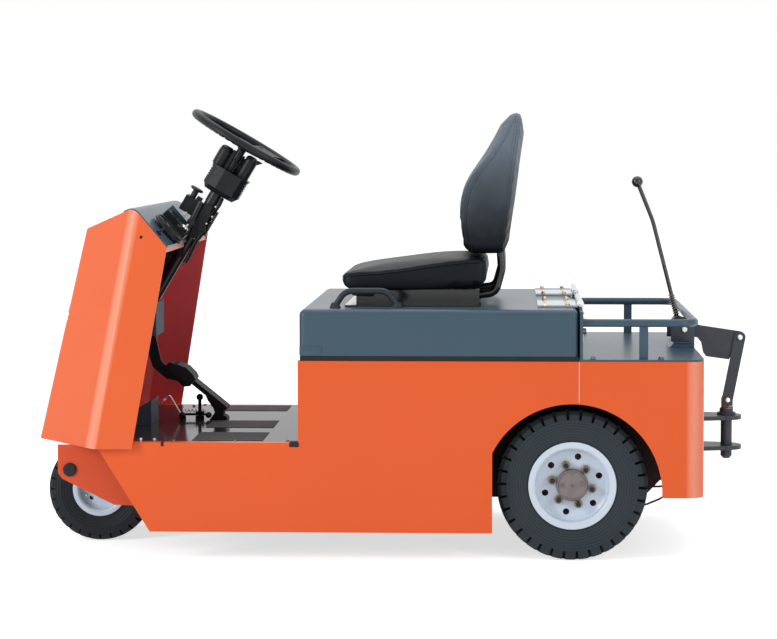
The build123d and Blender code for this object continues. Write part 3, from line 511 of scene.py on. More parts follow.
@dataclass(frozen=True)
class LeafPlating(Finish):
    """Plated hinge leaves with bright knuckles, bright bands of painted reflection across the leaves, and
    dull blue-grey elsewhere.
    """

    dull: Colour = (0.26, 0.31, 0.38)
    # middle Y and half width of each painted reflection band
    reflection_bands: tuple[tuple[float, float], ...] = ((-0.210, 0.088), (0.241, 0.076))
    knuckle_z: float = 0.7

    def paint(self, graph: Graph) -> None:
        """Brighten the knuckles and paint the reflection bands."""
        _, y, z = graph.axes()
        cloud = graph.noise(60.0, 3.0)
        bright = z > self.knuckle_z
        # the knuckles are bright metal; the bands on the leaves are painted reflections
        for middle, half in self.reflection_bands:
            away = y - middle
            bright = bright + (away * away < half * half)
        bright = bright.clamped()
        base = graph.blend(bright, self.dull, graph.tones(cloud, self.colour, 0.85, 1.1))
        graph.surface(base, graph.between(bright * 0.7 + cloud * 0.3, 0.42, 0.2), metallic=1.0)
        graph.relief(cloud, 0.00006, 0.5)


@dataclass(frozen=True)
class Vinyl(Finish):
    """Seat vinyl with a pebbled leather grain, and a painted sheen that turns it paler blue-grey towards the
    top of the backrest.
    """

    sheen_colour: Colour = (0.135, 0.166, 0.205)
    sheen_from: float = 0.90
    sheen_over: float = 0.26
    grain: float = 420.0

    def paint(self, graph: Graph) -> None:
        """Grain the vinyl, wear it and paint the sheen on the upper backrest."""
        warp = graph.noise(90.0, 2.0)
        fine = graph.noise(1500.0, 2.0)
        cloud = graph.noise(7.0, 3.0)
        worn = ((graph.noise(5.0, 2.0) - 0.45).clamped() * 2.0).clamped()
        _, _, height = graph.axes()
        # painted sheen: the colour goes paler with height, standing in for the reflection on the upper
        # backrest
        sheen = ((height - self.sheen_from) / self.sheen_over + (cloud - 0.5) * 0.5).clamped()
        base = graph.blend(sheen, graph.tones(cloud, self.colour, 0.8, 1.25), self.sheen_colour)
        graph.surface(base, graph.between(worn * 0.7 + warp * 0.3, 0.42, 0.28), shine=0.16)
        crease = (graph.cells(self.grain, "DISTANCE_TO_EDGE") * 5.0).clamped()
        graph.relief(crease * 0.75 + fine * 0.15 + warp * 0.1, 0.00022, 0.5)


@dataclass(frozen=True)
class PlainRubber(Finish):
    """Dull moulded rubber for seals, plugs and stops."""

    def paint(self, graph: Graph) -> None:
        """Dull the rubber."""
        cloud = graph.noise(24.0, 3.0)
        graph.surface(graph.tones(cloud, self.colour, 0.75, 1.5), graph.between(cloud, 0.52, 0.7), shine=0.2)
        graph.relief(graph.noise(520.0, 2.0), 0.00015, 0.6)


@dataclass(frozen=True)
class Grit(Finish):
    """Anti-slip strip: sharp grains in dark resin."""

    grain: float = 1100.0

    def paint(self, graph: Graph) -> None:
        """Strew the grains."""
        grains = graph.cells(self.grain)
        cloud = graph.noise(11.0, 3.0)
        base = graph.tones(grains, self.colour, 1.35, 0.6)
        base = graph.blend(cloud * 0.4, base, shade(self.colour, 1.3))
        graph.surface(base, graph.between(grains, 0.62, 0.85))
        graph.relief(1.0 - grains, 0.0007, 0.8)


@dataclass(frozen=True)
class LampGlass(Finish):
    """Moulded lens over a bright bowl, with vertical flutes."""

    flute: float = 0.007

    def paint(self, graph: Graph) -> None:
        """Flute the lens."""
        _, side, _ = graph.axes()
        ribs = graph.waves(side, self.flute)
        base = graph.tones(ribs, self.colour, 0.72, 1.0)
        graph.surface(base, graph.between(ribs, 0.08, 0.16), metallic=0.35, coat=0.8)
        graph.relief(ribs, 0.0006, 0.8)


@dataclass(frozen=True)
class CableJacket(Finish):
    """Smooth cable jacket with slight waviness."""

    def paint(self, graph: Graph) -> None:
        """Smooth the jacket."""
        cloud = graph.noise(60.0, 2.0)
        graph.surface(graph.tones(cloud, self.colour, 0.8, 1.7), graph.between(cloud, 0.3, 0.45))
        graph.relief(cloud, 0.0002, 0.5)


@dataclass(frozen=True)
class StudioSurface(Finish):
    """Plain pale floor: white to the camera and to mirrors, with the object's soft shadow left on it."""

    lift: float = 0.66

    def paint(self, graph: Graph) -> None:
        """Lift the floor to white for the rays that see it as a background."""
        path = graph.node("ShaderNodeLightPath")
        camera, glass, mirror = (Value(graph, path.outputs[f"Is {kind} Ray"])
                                 for kind in ("Camera", "Transmission", "Glossy"))
        seen = (camera + glass + mirror).clamped()
        graph.surface(self.colour, 0.9, shine=0.1)
        graph.feed("Emission Strength", 1.0)
        graph.feed("Emission Color", graph.blend(seen, (0.0, 0.0, 0.0), (self.lift, self.lift, self.lift)))


BODY_ORANGE = (0.76, 0.108, 0.020)
ORANGE = SprayPaint("orange_paint", BODY_ORANGE, coat=0.1, shine=0.22)
# painted light: the body orange made lighter for the cowl, whose sides lean up towards the lamps; the cowl
# also gets the painted highlight on its bend
COWL_LIT_PAINT = BendHighlightPaint("cowl_paint_lit", (0.77, 0.130, 0.034), coat=0.1, shine=0.22)
# painted highlight band along the rear body's corner bend, at bend_x
REAR_PAINT = BendHighlightPaint("rear_body_paint", BODY_ORANGE, coat=0.1, shine=0.22, inward_colour=(0.72, 0.10, 0.02),
                        centre_x=0.4, bend_x=0.828, bend_slope=0.0, band_half=0.024)
# painted shade: a darker, redder copy of the body orange for the nose plates, which sit in shade under the
# cowl
NOSE_SHADED_PAINT = SprayPaint("nose_shaded_paint", (0.66, 0.088, 0.030), coat=0.05, shine=0.15)
# painted highlight: pale orange for the light edge along the seam between side panel and rear body
SEAM_HIGHLIGHT_PAINT = SprayPaint("seam_highlight_paint", (0.88, 0.42, 0.33), coat=0.3)
SLATE = SprayPaint("slate_paint", (0.045, 0.086, 0.122), roughness=0.30, coat=0.08, shine=0.27, drift=0.04)
COVER_SLATE = SprayPaint("cover_slate", (0.052, 0.085, 0.115), roughness=0.5, coat=0.0, shine=0.08)
FLOOR_PAINT = SprayPaint("platform_paint", (0.045, 0.043, 0.048), roughness=0.08, coat=0.0, shine=0.05)
GLOSS_BLACK = SprayPaint("gloss_black", (0.006, 0.007, 0.008), roughness=0.12, coat=0.5, shine=0.4)
WHEEL_PAINT = SprayPaint("wheel_paint", (0.61, 0.70, 0.81), roughness=0.3, coat=0.3, drift=0.03)
FRAME_BLACK = PowderCoat("frame_black", (0.018, 0.018, 0.020))
CHARCOAL = PowderCoat("charcoal_coat", (0.052, 0.062, 0.076), roughness=0.36)
PEDAL_BLACK = PowderCoat("pedal_black", (0.006, 0.006, 0.007), roughness=0.5, shine=0.12)
COLUMN_BLACK = PowderCoat("column_black", (0.010, 0.011, 0.013), roughness=0.3, shine=0.3)
FRAME_BROWN = PowderCoat("frame_primer", (0.026, 0.013, 0.014), roughness=0.5, shine=0.15)
BLACK_PLASTIC = MouldedPlastic("black_plastic", (0.010, 0.012, 0.014), roughness=0.34)
PALE_PLASTIC = MouldedPlastic("pale_plastic", (0.62, 0.62, 0.60), roughness=0.4)
BATTERY_CASE = MouldedPlastic("battery_case", (0.045, 0.046, 0.050), roughness=0.5)
GRIP = MouldedPlastic("grip_grey", (0.022, 0.032, 0.042), roughness=0.28)
DIAL_FACE = MouldedPlastic("dial_face", (0.006, 0.006, 0.007), roughness=0.5, grain=2600.0)
CELL_CAP = MouldedPlastic("cell_cap", (0.50, 0.055, 0.030), roughness=0.4)
ZINC = Plating("zinc_plate", (0.78, 0.78, 0.77))
BRASS = Plating("yellow_passivate", (0.74, 0.58, 0.36), roughness=0.3)
OLIVE_ZINC = Plating("olive_zinc", (0.30, 0.26, 0.20), roughness=0.34)
DARK_ZINC = Plating("black_zinc", (0.16, 0.16, 0.17), roughness=0.34)
BRIGHT = Plating("bright_pin", (0.90, 0.90, 0.89), roughness=0.5)
CHROME = Plating("bright_chrome", (0.80, 0.81, 0.82), roughness=0.12)
LEAF_ZINC = LeafPlating("leaf_zinc", (0.64, 0.68, 0.74))
CAP_IRON = Casting("hub_cap_iron", (0.165, 0.140, 0.140))
VINYL = Vinyl("seat_vinyl", (0.004, 0.006, 0.009))
RUBBER = PlainRubber("rubber", (0.016, 0.017, 0.018))
GRIT = Grit("anti_slip", (0.045, 0.045, 0.047))
LENS = LampGlass("lamp_lens", (0.50, 0.52, 0.54))
RED_LENS = LampGlass("red_lens", (0.36, 0.012, 0.010), flute=0.005)
JACKET = CableJacket("cable_jacket", (0.012, 0.012, 0.013))
STUDIO = StudioSurface("studio", (0.90, 0.90, 0.90))


# ---- studio ------------------------------------------------------------------------------
@dataclass(frozen=True)
class SoftLamp:
    """A broad lamp that looks at the tractor's middle."""

    name: str
    place: Point
    size: tuple[float, float]
    power: float
    target: Point = (0.0, 0.0, 0.5)

    def hang(self) -> None:
        """Add the lamp to the scene."""
        bpy.ops.object.light_add(type="AREA", location=self.place)
        lamp = bpy.context.object
        lamp.name = self.name
        lamp.data.shape = "RECTANGLE"
        lamp.data.size, lamp.data.size_y = self.size
        lamp.data.energy = self.power
        lamp.rotation_euler = (Vector(self.target) - Vector(self.place)).to_track_quat("-Z", "Y").to_euler()


@dataclass
class Studio:
    """Floor, lamps, background and camera."""

    lens: float = 100.857
    sensor: float = 36.0
    camera_place: Point = (0.3219, -6.342, 1.1583)
    yaw: float = 1.747
    pitch: float = -2.697
    shift: tuple[float, float] = (-0.07, -0.10)
    floor_half: float = 30.0
    floor_z: float = -0.0006
    world_level: float = 0.50
    lamps: tuple[SoftLamp, ...] = (
        SoftLamp("key", (-4.6, -3.6, 2.4), (1.6, 3.2), 150.0),
        SoftLamp("fill", (3.8, -3.4, 2.2), (1.4, 3.0), 55.0),
        SoftLamp("top", (0.3, 0.6, 5.0), (5.0, 5.0), 85.0),
    )

    def floor(self) -> None:
        """Lay the floor, white to the camera wherever no shadow falls."""
        bpy.ops.mesh.primitive_plane_add(size=2 * self.floor_half, location=(0.0, 0.0, self.floor_z))
        plane = bpy.context.object
        plane.name = "studio_floor"
        bpy.ops.object.transform_apply(location=True, rotation=True, scale=True)
        plane.data.materials.append(STUDIO.make())

    def world(self) -> None:
        """Light the scene evenly; the camera, mirrors and glass see plain white."""
        world = bpy.data.worlds.new("studio_world")
        world.use_nodes = True
        bpy.context.scene.world = world
        tree = world.node_tree
        background = tree.nodes["Background"]
        path = tree.nodes.new("ShaderNodeLightPath")
        seen = path.outputs["Is Camera Ray"]
        for ray in ("Is Transmission Ray", "Is Glossy Ray"):
            either = tree.nodes.new("ShaderNodeMath")
            either.operation = "MAXIMUM"
            tree.links.new(seen, either.inputs[0])
            tree.links.new(path.outputs[ray], either.inputs[1])
            seen = either.outputs[0]
        level = tree.nodes.new("ShaderNodeMix")
        level.data_type = "FLOAT"
        level.inputs[2].default_value = self.world_level
        level.inputs[3].default_value = 1.0
        tree.links.new(seen, level.inputs[0])
        tree.links.new(level.outputs[0], background.inputs["Strength"])
        background.inputs["Color"].default_value = (1.0, 1.0, 1.0, 1.0)

    def camera(self) -> None:
        """Place the camera beside the tractor."""
        bpy.ops.object.camera_add(location=self.camera_place)
        camera = bpy.context.object
        camera.name = "camera"
        camera.rotation_euler = (math.radians(90.0 + self.pitch), 0.0, math.radians(self.yaw))
        camera.data.sensor_width = self.sensor
        camera.data.lens = self.lens
        camera.data.shift_x, camera.data.shift_y = self.shift
        bpy.context.scene.camera = camera

    def build(self) -> None:
        """Make the whole studio and set the view transform."""
        self.floor()
        for lamp in self.lamps:
            lamp.hang()
        self.world()
        self.camera()
        bpy.context.scene.view_settings.view_transform = "Standard"


# ---- mesh work ---------------------------------------------------------------------------
MM = 0.001
TURNED_SMOOTH = math.radians(35.0)
BLOCK_SMOOTH = math.radians(40.0)
NURBS_ORDER = 4


def deselect() -> None:
    """Leave edit mode and clear the selection."""
    if bpy.context.object and bpy.context.object.mode != "OBJECT":
        bpy.ops.object.mode_set(mode="OBJECT")
    bpy.ops.object.select_all(action="DESELECT")


def activate(piece: Piece) -> None:
    """Select one object alone and make it active."""
    deselect()
    piece.select_set(True)
    bpy.context.view_layer.objects.active = piece


@contextmanager
def editing(piece: Piece) -> Iterator[None]:
    """Hold a piece in edit mode with all of its mesh selected."""
    activate(piece)
    bpy.ops.object.mode_set(mode="EDIT")
    bpy.ops.mesh.select_all(action="SELECT")
    yield
    bpy.ops.object.mode_set(mode="OBJECT")


def settle(piece: Piece) -> None:
    """Put the object's place into its mesh."""
    activate(piece)
    bpy.ops.object.transform_apply(location=True, rotation=True, scale=True)


def discard(*pieces: Piece) -> None:
    """Remove pieces that were only copied from."""
    for piece in pieces:
        bpy.data.objects.remove(piece, do_unlink=True)


def apply_modifiers(piece: Piece) -> None:
    """Apply all of a piece's modifiers in order."""
    activate(piece)
    for modifier in list(piece.modifiers):
        bpy.ops.object.modifier_apply(modifier=modifier.name)


def joined(pieces: list[Piece], name: str) -> Piece:
    """Join meshes into one piece.

    Args:
        pieces: Mesh objects.
        name: The joined piece's name.

    Returns:
        The joined object.
    """
    deselect()
    for piece in pieces:
        piece.select_set(True)
    bpy.context.view_layer.objects.active = pieces[0]
    if len(pieces) > 1:
        bpy.ops.object.join()
    whole = bpy.context.object
    whole.name = name
    settle(whole)
    return whole


def mesh_piece(name: str, points: list[Vector], faces: list[tuple[int, ...]]) -> Piece:
    """Make an object from points and faces, with its normals outwards.

    Args:
        name: The object's name.
        points: Vertices in metres.
        faces: Vertex numbers of each face.

    Returns:
        The object.
    """
    mesh = bpy.data.meshes.new(name)
    mesh.from_pydata([tuple(point) for point in points], [], faces)
    piece = bpy.data.objects.new(name, mesh)
    bpy.context.scene.collection.objects.link(piece)
    with editing(piece):
        bpy.ops.mesh.remove_doubles(threshold=1e-6)
        bpy.ops.mesh.normals_make_consistent(inside=False)
    return piece


def tube(name: str, path: Iterable[Point], radius: float, closed: bool = False, sides: int = 3) -> Piece:
    """Sweep a round section along a smooth path.

    Args:
        name: The object's name.
        path: Points in metres.
        radius: Section radius in metres.
        closed: Whether the path is a loop.
        sides: Bevel resolution of the section.

    Returns:
        The tube as a mesh object.
    """
    points = [Vector(point) for point in path]
    curve = bpy.data.curves.new(name, "CURVE")
    curve.dimensions = "3D"
    curve.bevel_depth = radius
    curve.bevel_resolution = sides
    curve.use_fill_caps = not closed
    curve.resolution_u = 4
    spline = curve.splines.new("NURBS")
    spline.points.add(len(points) - 1)
    for knot, place in zip(spline.points, points):
        knot.co = (*place, 1.0)
    spline.order_u = min(NURBS_ORDER, len(points))
    spline.use_endpoint_u = not closed
    spline.use_cyclic_u = closed
    piece = bpy.data.objects.new(name, curve)
    bpy.context.scene.collection.objects.link(piece)
    activate(piece)
    bpy.ops.object.convert(target="MESH")
    bpy.ops.object.shade_smooth()
    return bpy.context.object


# ---- seat --------------------------------------------------------------------------------
@dataclass(frozen=True)
class Station:
    """One ring of a pad, as shares of its CAD box: place along, the two faces, half width, crown."""

    along: float
    back: float
    face: float
    half: float
    crown: float = 0.0


@dataclass
class Pad:
    """A stuffed vinyl pad: lofted rings, swollen as cloth between its taut seams, then piped."""

    name: str
    node: str
    upright: bool
    stations: tuple[Station, ...]
    seam_inset: float
    back_seam: bool
    cap: float
    voxel: float = 0.006
    relax_steps: int = 9
    relax_factor: float = 0.6
    seam_step: float = 0.006
    seam_passes: int = 3
    pressure: float = 5.0
    tension: float = 30.0
    bending: float = 4.0
    frames: int = 20
    taut_reach: float = 0.012
    resting_height: float = 0.006
    dip_reach: float = 0.009
    dip_depth: float = 0.0034
    welt: float = 0.0024
    steps: int = 12

    def spot(self, station: Station, across: float, level: float, bow: float) -> Vector:
        """Return a point of the pad.

        Args:
            station: The ring that holds the point.
            across: The point's Y in metres.
            level: Share of the box's depth.
            bow: How far the point stands out of that level, in metres.

        Returns:
            The point.
        """
        low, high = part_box(self.node)
        size = high - low
        if self.upright:
            return Vector((low.x + level * size.x - bow, across, low.z + station.along * size.z))
        return Vector((low.x + station.along * size.x, across, low.z + level * size.z + bow))

    def half_width(self, station: Station) -> float:
        """Return half of a ring's width in metres."""
        low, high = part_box(self.node)
        return station.half * (high - low).y / 2

    def ring(self, station: Station) -> list[Vector]:
        """Return one closed ring of points round the pad, first along its face, then along its back."""
        half = self.half_width(station)
        shares = [side / self.steps for side in range(-self.steps, self.steps + 1)]
        face = [self.spot(station, share * half, station.face, station.crown * (1.0 - share * share))
                for share in shares]
        return face + [self.spot(station, share * half, station.back, 0.0) for share in reversed(shares)]

    def loft(self) -> Piece:
        """Join the rings into a closed form."""
        rings = [self.ring(station) for station in self.stations]
        count = len(rings[0])
        faces = []
        for level in range(len(rings) - 1):
            low, high = level * count, (level + 1) * count
            for i in range(count):
                j = (i + 1) % count
                faces.append((low + i, low + j, high + j, high + i))
        faces.append(tuple(range(count)))
        faces.append(tuple(range((len(rings) - 1) * count, len(rings) * count)))
        return mesh_piece(self.name, [point for ring in rings for point in ring], faces)

    def seam_loops(self) -> list[list[Vector]]:
        """Return the closed seam paths round the pad, a little behind its face and before its back."""
        loops = []
        for from_face, bow in ((True, -self.seam_inset), (False, self.seam_inset * 0.8)):
            if not from_face and not self.back_seam:
                continue
            sides = {-1: [], 1: []}
            for station in self.stations[1:-1]:
                level = station.face if from_face else station.back
                for side in (-1, 1):
                    sides[side].append(self.spot(station, side * self.half_width(station), level, bow))
            loops.append(sides[-1] + list(reversed(sides[1])))
        return loops

    def dense(self, loop: list[Vector]) -> list[Vector]:
        """Return a loop cut into short steps."""
        points = []
        for first, second in zip(loop, loop[1:] + loop[:1]):
            count = max(1, round((second - first).length / self.seam_step))
            points += [first.lerp(second, i / count) for i in range(count)]
        return points

    def soften(self, form: Piece) -> None:
        """Remesh the form evenly and round its edges."""
        remesh = form.modifiers.new("even", "REMESH")
        remesh.mode = "VOXEL"
        remesh.voxel_size = self.voxel
        smooth = form.modifiers.new("relax", "SMOOTH")
        smooth.iterations = self.relax_steps
        smooth.factor = self.relax_factor
        apply_modifiers(form)

    def seated(self, form: Piece, loop: list[Vector]) -> list[Vector]:
        """Return the loop moved onto the form's surface, evened out."""
        on_it = [form.closest_point_on_mesh(point)[1] for point in self.dense(loop)]
        for _ in range(self.seam_passes):
            before, after = on_it[-1:] + on_it[:-1], on_it[1:] + on_it[:1]
            on_it = [(a + b * 2 + c) / 4 for a, b, c in zip(before, on_it, after)]
        return on_it

    def seam_distances(self, form: Piece, seams: list[list[Vector]]) -> list[float]:
        """Return how far each vertex is from the nearest seam, in metres."""
        marks = [point for seam in seams for point in seam]
        tree = KDTree(len(marks))
        for i, point in enumerate(marks):
            tree.insert(point, i)
        tree.balance()
        return [tree.find(vertex.co)[2] for vertex in form.data.vertices]

    def blow(self, form: Piece) -> None:
        """Run the cover as cloth under pressure, held by its taut group, and cap how far it moves."""
        rest = [vertex.co.copy() for vertex in form.data.vertices]
        cloth = form.modifiers.new("stuffing", "CLOTH")
        cloth.settings.quality = 5
        cloth.settings.vertex_group_mass = "taut"
        cloth.settings.pin_stiffness = 1.0
        cloth.settings.use_pressure = True
        cloth.settings.uniform_pressure_force = self.pressure
        cloth.settings.tension_stiffness = self.tension
        cloth.settings.bending_stiffness = self.bending
        cloth.settings.effector_weights.gravity = 0.0
        scene = bpy.context.scene
        for number in range(1, self.frames + 1):
            scene.frame_set(number)
        activate(form)
        bpy.ops.object.modifier_apply(modifier=cloth.name)
        scene.frame_set(1)
        for vertex, start in zip(form.data.vertices, rest):
            shift = vertex.co - start
            if shift.length > self.cap:
                shift *= self.cap / shift.length
            vertex.co = start + shift

    def swell(self, form: Piece, seams: list[list[Vector]]) -> None:
        """Blow the cover up between its seams and draw it in along them.

        Args:
            form: The remeshed pad.
            seams: Paths that stay taut.
        """
        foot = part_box(self.node)[0].z + self.resting_height
        distances = self.seam_distances(form, seams)
        taut = form.vertex_groups.new(name="taut")
        for i, (vertex, distance) in enumerate(zip(form.data.vertices, distances)):
            resting = not self.upright and vertex.co.z < foot
            taut.add([i], 1.0 if resting else max(0.0, 1.0 - distance / self.taut_reach), "REPLACE")
        self.blow(form)
        normals = [vertex.normal.copy() for vertex in form.data.vertices]
        for vertex, normal, distance in zip(form.data.vertices, normals, distances):
            dip = max(0.0, 1.0 - distance / self.dip_reach)
            vertex.co -= normal * (self.dip_depth * dip * dip)

    def build(self) -> Piece:
        """Make the pad and its piping.

        Returns:
            The finished pad.
        """
        form = self.loft()
        self.soften(form)
        seams = [self.seated(form, loop) for loop in self.seam_loops()]
        self.swell(form, seams)
        fine = form.modifiers.new("fine", "SUBSURF")
        fine.levels = fine.render_levels = 1
        apply_modifiers(form)
        bpy.ops.object.shade_smooth()
        welts = []
        for number, seam in enumerate(seams):
            path = [form.closest_point_on_mesh(point)[1] for point in seam[::2]]
            welts.append(tube(f"{self.name}_welt_{number}", path, self.welt, closed=True))
        return joined([form] + welts, self.name)


CUSHION_STATIONS = (
    Station(0.000, 0.30, 0.46, 0.86),
    Station(0.012, 0.16, 0.50, 0.95),
    Station(0.040, 0.06, 0.525, 0.985),
    Station(0.10, 0.02, 0.56, 1.0, 0.004),
    Station(0.25, 0.00, 0.60, 1.0, 0.007),
    Station(0.40, 0.00, 0.67, 1.0, 0.009),
    Station(0.55, 0.02, 0.77, 1.0, 0.010),
    Station(0.72, 0.05, 0.87, 1.0, 0.010),
    Station(0.88, 0.10, 0.93, 0.99, 0.008),
    Station(0.965, 0.16, 0.93, 0.965, 0.004),
    Station(1.0, 0.28, 0.84, 0.90),
)
BACKREST_STATIONS = (
    Station(0.000, 0.70, 0.18, 0.88),
    Station(0.020, 0.71, 0.10, 0.93),
    Station(0.055, 0.715, 0.055, 0.96),
    Station(0.15, 0.74, 0.015, 0.985, -0.008),
    Station(0.26, 0.775, 0.00, 1.0, -0.016),
    Station(0.37, 0.81, 0.025, 1.0, -0.018),
    Station(0.47, 0.84, 0.085, 0.99, -0.016),
    Station(0.56, 0.865, 0.20, 0.97, -0.012),
    Station(0.64, 0.885, 0.33, 0.94, -0.008),
    Station(0.72, 0.91, 0.465, 0.90),
    Station(0.81, 0.94, 0.58, 0.85),
    Station(0.90, 0.965, 0.68, 0.80),
    Station(0.955, 0.98, 0.735, 0.74),
    Station(0.985, 0.975, 0.77, 0.68),
    Station(1.0, 0.95, 0.81, 0.60),
)


@dataclass
class Seat:
    """Cushion and backrest."""

    body: str = "hood_body"
    pads: tuple[Pad, ...] = (
        Pad("cushion_pad", "seat_cushion", False, CUSHION_STATIONS,
            seam_inset=0.010, back_seam=False, cap=0.012),
        Pad("backrest_pad", "seat_backrest", True, BACKREST_STATIONS,
            seam_inset=0.020, back_seam=True, cap=0.009),
    )

    def build(self, dresser: "Dresser") -> None:
        """Make both pads and put them in the place of their CAD solids.

        Args:
            dresser: Gives out the materials.
        """
        for pad in self.pads:
            piece = dresser.seat_piece(pad.build(), self.body, VINYL)
            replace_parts(piece, pad.node)


# ---- small hardware ----------------------------------------------------------------------
AXLE_PLACES = {joint["name"]: joint["pos_m"] for joint in frame["joints"] if "pos_m" in joint}
FRONT_AXLE_X = -0.855
ORIGIN_X = AXLE_PLACES["front_wheels_spin"][0] - FRONT_AXLE_X
UP, BACK = (0.0, 0.0, 1.0), (1.0, 0.0, 0.0)
NEAR, FAR = (0.0, -1.0, 0.0), (0.0, 1.0, 0.0)
SIDES = (-1, 1)
REAR_FACE = 859.0
DECK_TOP = 559.0
FLOOR_TOP = 328.0
SQUARE_ON = Matrix.Rotation(math.radians(45.0), 4, "Z")


def outward(side: float) -> Point:
    """Return the direction away from the tractor's middle on one side."""
    return NEAR if side < 0 else FAR


def at(x: float, y: float, z: float) -> Vector:
    """Return a point of the CAD layout, given in millimetres, in the frame's metres."""
    return Vector((x * MM + ORIGIN_X, y * MM, z * MM))


def ray(turn: float) -> Vector:
    """Return the direction in the XY plane at an angle in radians."""
    return Vector((math.cos(turn), math.sin(turn), 0.0))


def facing(place: Vector, direction: Point, turn: float = 0.0) -> Matrix:
    """Return the matrix that stands a piece made along +Z on a point.

    Args:
        place: Where its foot goes.
        direction: Where its top points.
        turn: Rotation about its own axis in degrees.

    Returns:
        The matrix.
    """
    swing = Vector(direction).to_track_quat("Z", "Y").to_matrix().to_4x4()
    return Matrix.Translation(place) @ swing @ Matrix.Rotation(math.radians(turn), 4, "Z")


def turned(name: str, profile: Profile, sides: int = 32) -> Piece:
    """Turn a closed piece about Z by extruding a disc and scaling each new ring.

    Args:
        name: The object's name.
        profile: Radius and height of each ring in millimetres, from the foot up.
        sides: Number of sides.

    Returns:
        The object, standing on the origin.
    """
    radius, height = profile[0]
    deselect()
    bpy.ops.mesh.primitive_circle_add(
        vertices=sides, radius=radius * MM, fill_type="NGON", location=(0, 0, height * MM))
    piece = bpy.context.object
    piece.name = name
    with editing(piece):
        for next_radius, next_height in profile[1:]:
            rise = (0.0, 0.0, (next_height - height) * MM)
            bpy.ops.mesh.extrude_region_move(TRANSFORM_OT_translate={"value": rise})
            scale = next_radius / radius
            bpy.ops.transform.resize(value=(scale, scale, 1.0))
            radius, height = next_radius, next_height
        bpy.ops.mesh.select_all(action="SELECT")
        bpy.ops.mesh.normals_make_consistent(inside=False)
    settle(piece)
    bpy.ops.object.shade_smooth_by_angle(angle=TURNED_SMOOTH)
    return piece


def block(name: str, low: Point, high: Point, edge: float = 0.6, segments: int = 2) -> Piece:
    """Make a block between two corners of the layout and round its edges.

    Args:
        name: The object's name.
        low: Lowest corner in millimetres.
        high: Highest corner in millimetres.
        edge: Rounding in millimetres.
        segments: Steps of the rounding.

    Returns:
        The object.
    """
    first, last = at(*low), at(*high)
    deselect()
    bpy.ops.mesh.primitive_cube_add(size=1.0, location=(first + last) / 2)
    piece = bpy.context.object
    piece.name = name
    with editing(piece):
        bpy.ops.transform.resize(value=tuple(last - first))
        bpy.ops.mesh.bevel(offset=edge * MM, segments=segments, affect="EDGES")
    settle(piece)
    bpy.ops.object.shade_smooth_by_angle(angle=BLOCK_SMOOTH)
    return piece


@dataclass(frozen=True)
class SidePlates:
    """A pair of thin plates, one on each side of the tractor."""

    x: tuple[float, float]
    z: tuple[float, float]
    inner: float
    outer: float
    edge: float

    def build(self, name: str) -> list[Piece]:
        """Return both plates."""
        plates = []
        for side in SIDES:
            y0, y1 = sorted((side * self.inner, side * self.outer))
            plates.append(block(name, (self.x[0], y0, self.z[0]), (self.x[1], y1, self.z[1]), self.edge))
        return plates


def moved(piece: Piece, matrix: Matrix) -> Piece:
    """Move a piece's mesh by a matrix."""
    piece.data.transform(matrix)
    piece.data.update()
    return piece


def copied(piece: Piece, name: str, matrix: Matrix) -> Piece:
    """Copy a piece with its own mesh and move the copy by a matrix."""
    twin = bpy.data.objects.new(name, piece.data.copy())
    bpy.context.scene.collection.objects.link(twin)
    return moved(twin, matrix)


def stood(name: str, profile: Profile, sides: int, stands: Iterable[Matrix]) -> list[Piece]:
    """Return one turned piece for each matrix, moved there."""
    return [moved(turned(name, profile, sides), stand) for stand in stands]


def hexagon(name: str, across: float, height: float) -> Piece:
    """Make a hexagon head with a chamfered crown.

    Args:
        name: The object's name.
        across: Size across the flats in millimetres.
        height: Height in millimetres.

    Returns:
        The head, standing on the origin.
    """
    corner = across / 2 / math.cos(math.radians(30.0))
    return turned(name, ((corner, 0.0), (corner, height * 0.84), (corner * 0.86, height)), sides=6)


class Hardware(Enum):
    """Kinds of fastener."""

    BOLT = "bolt"
    NUT_ON_STUD = "nut_on_stud"
    DOME_NUT = "dome_nut"
    RIVET = "rivet"
    SCREW = "screw"


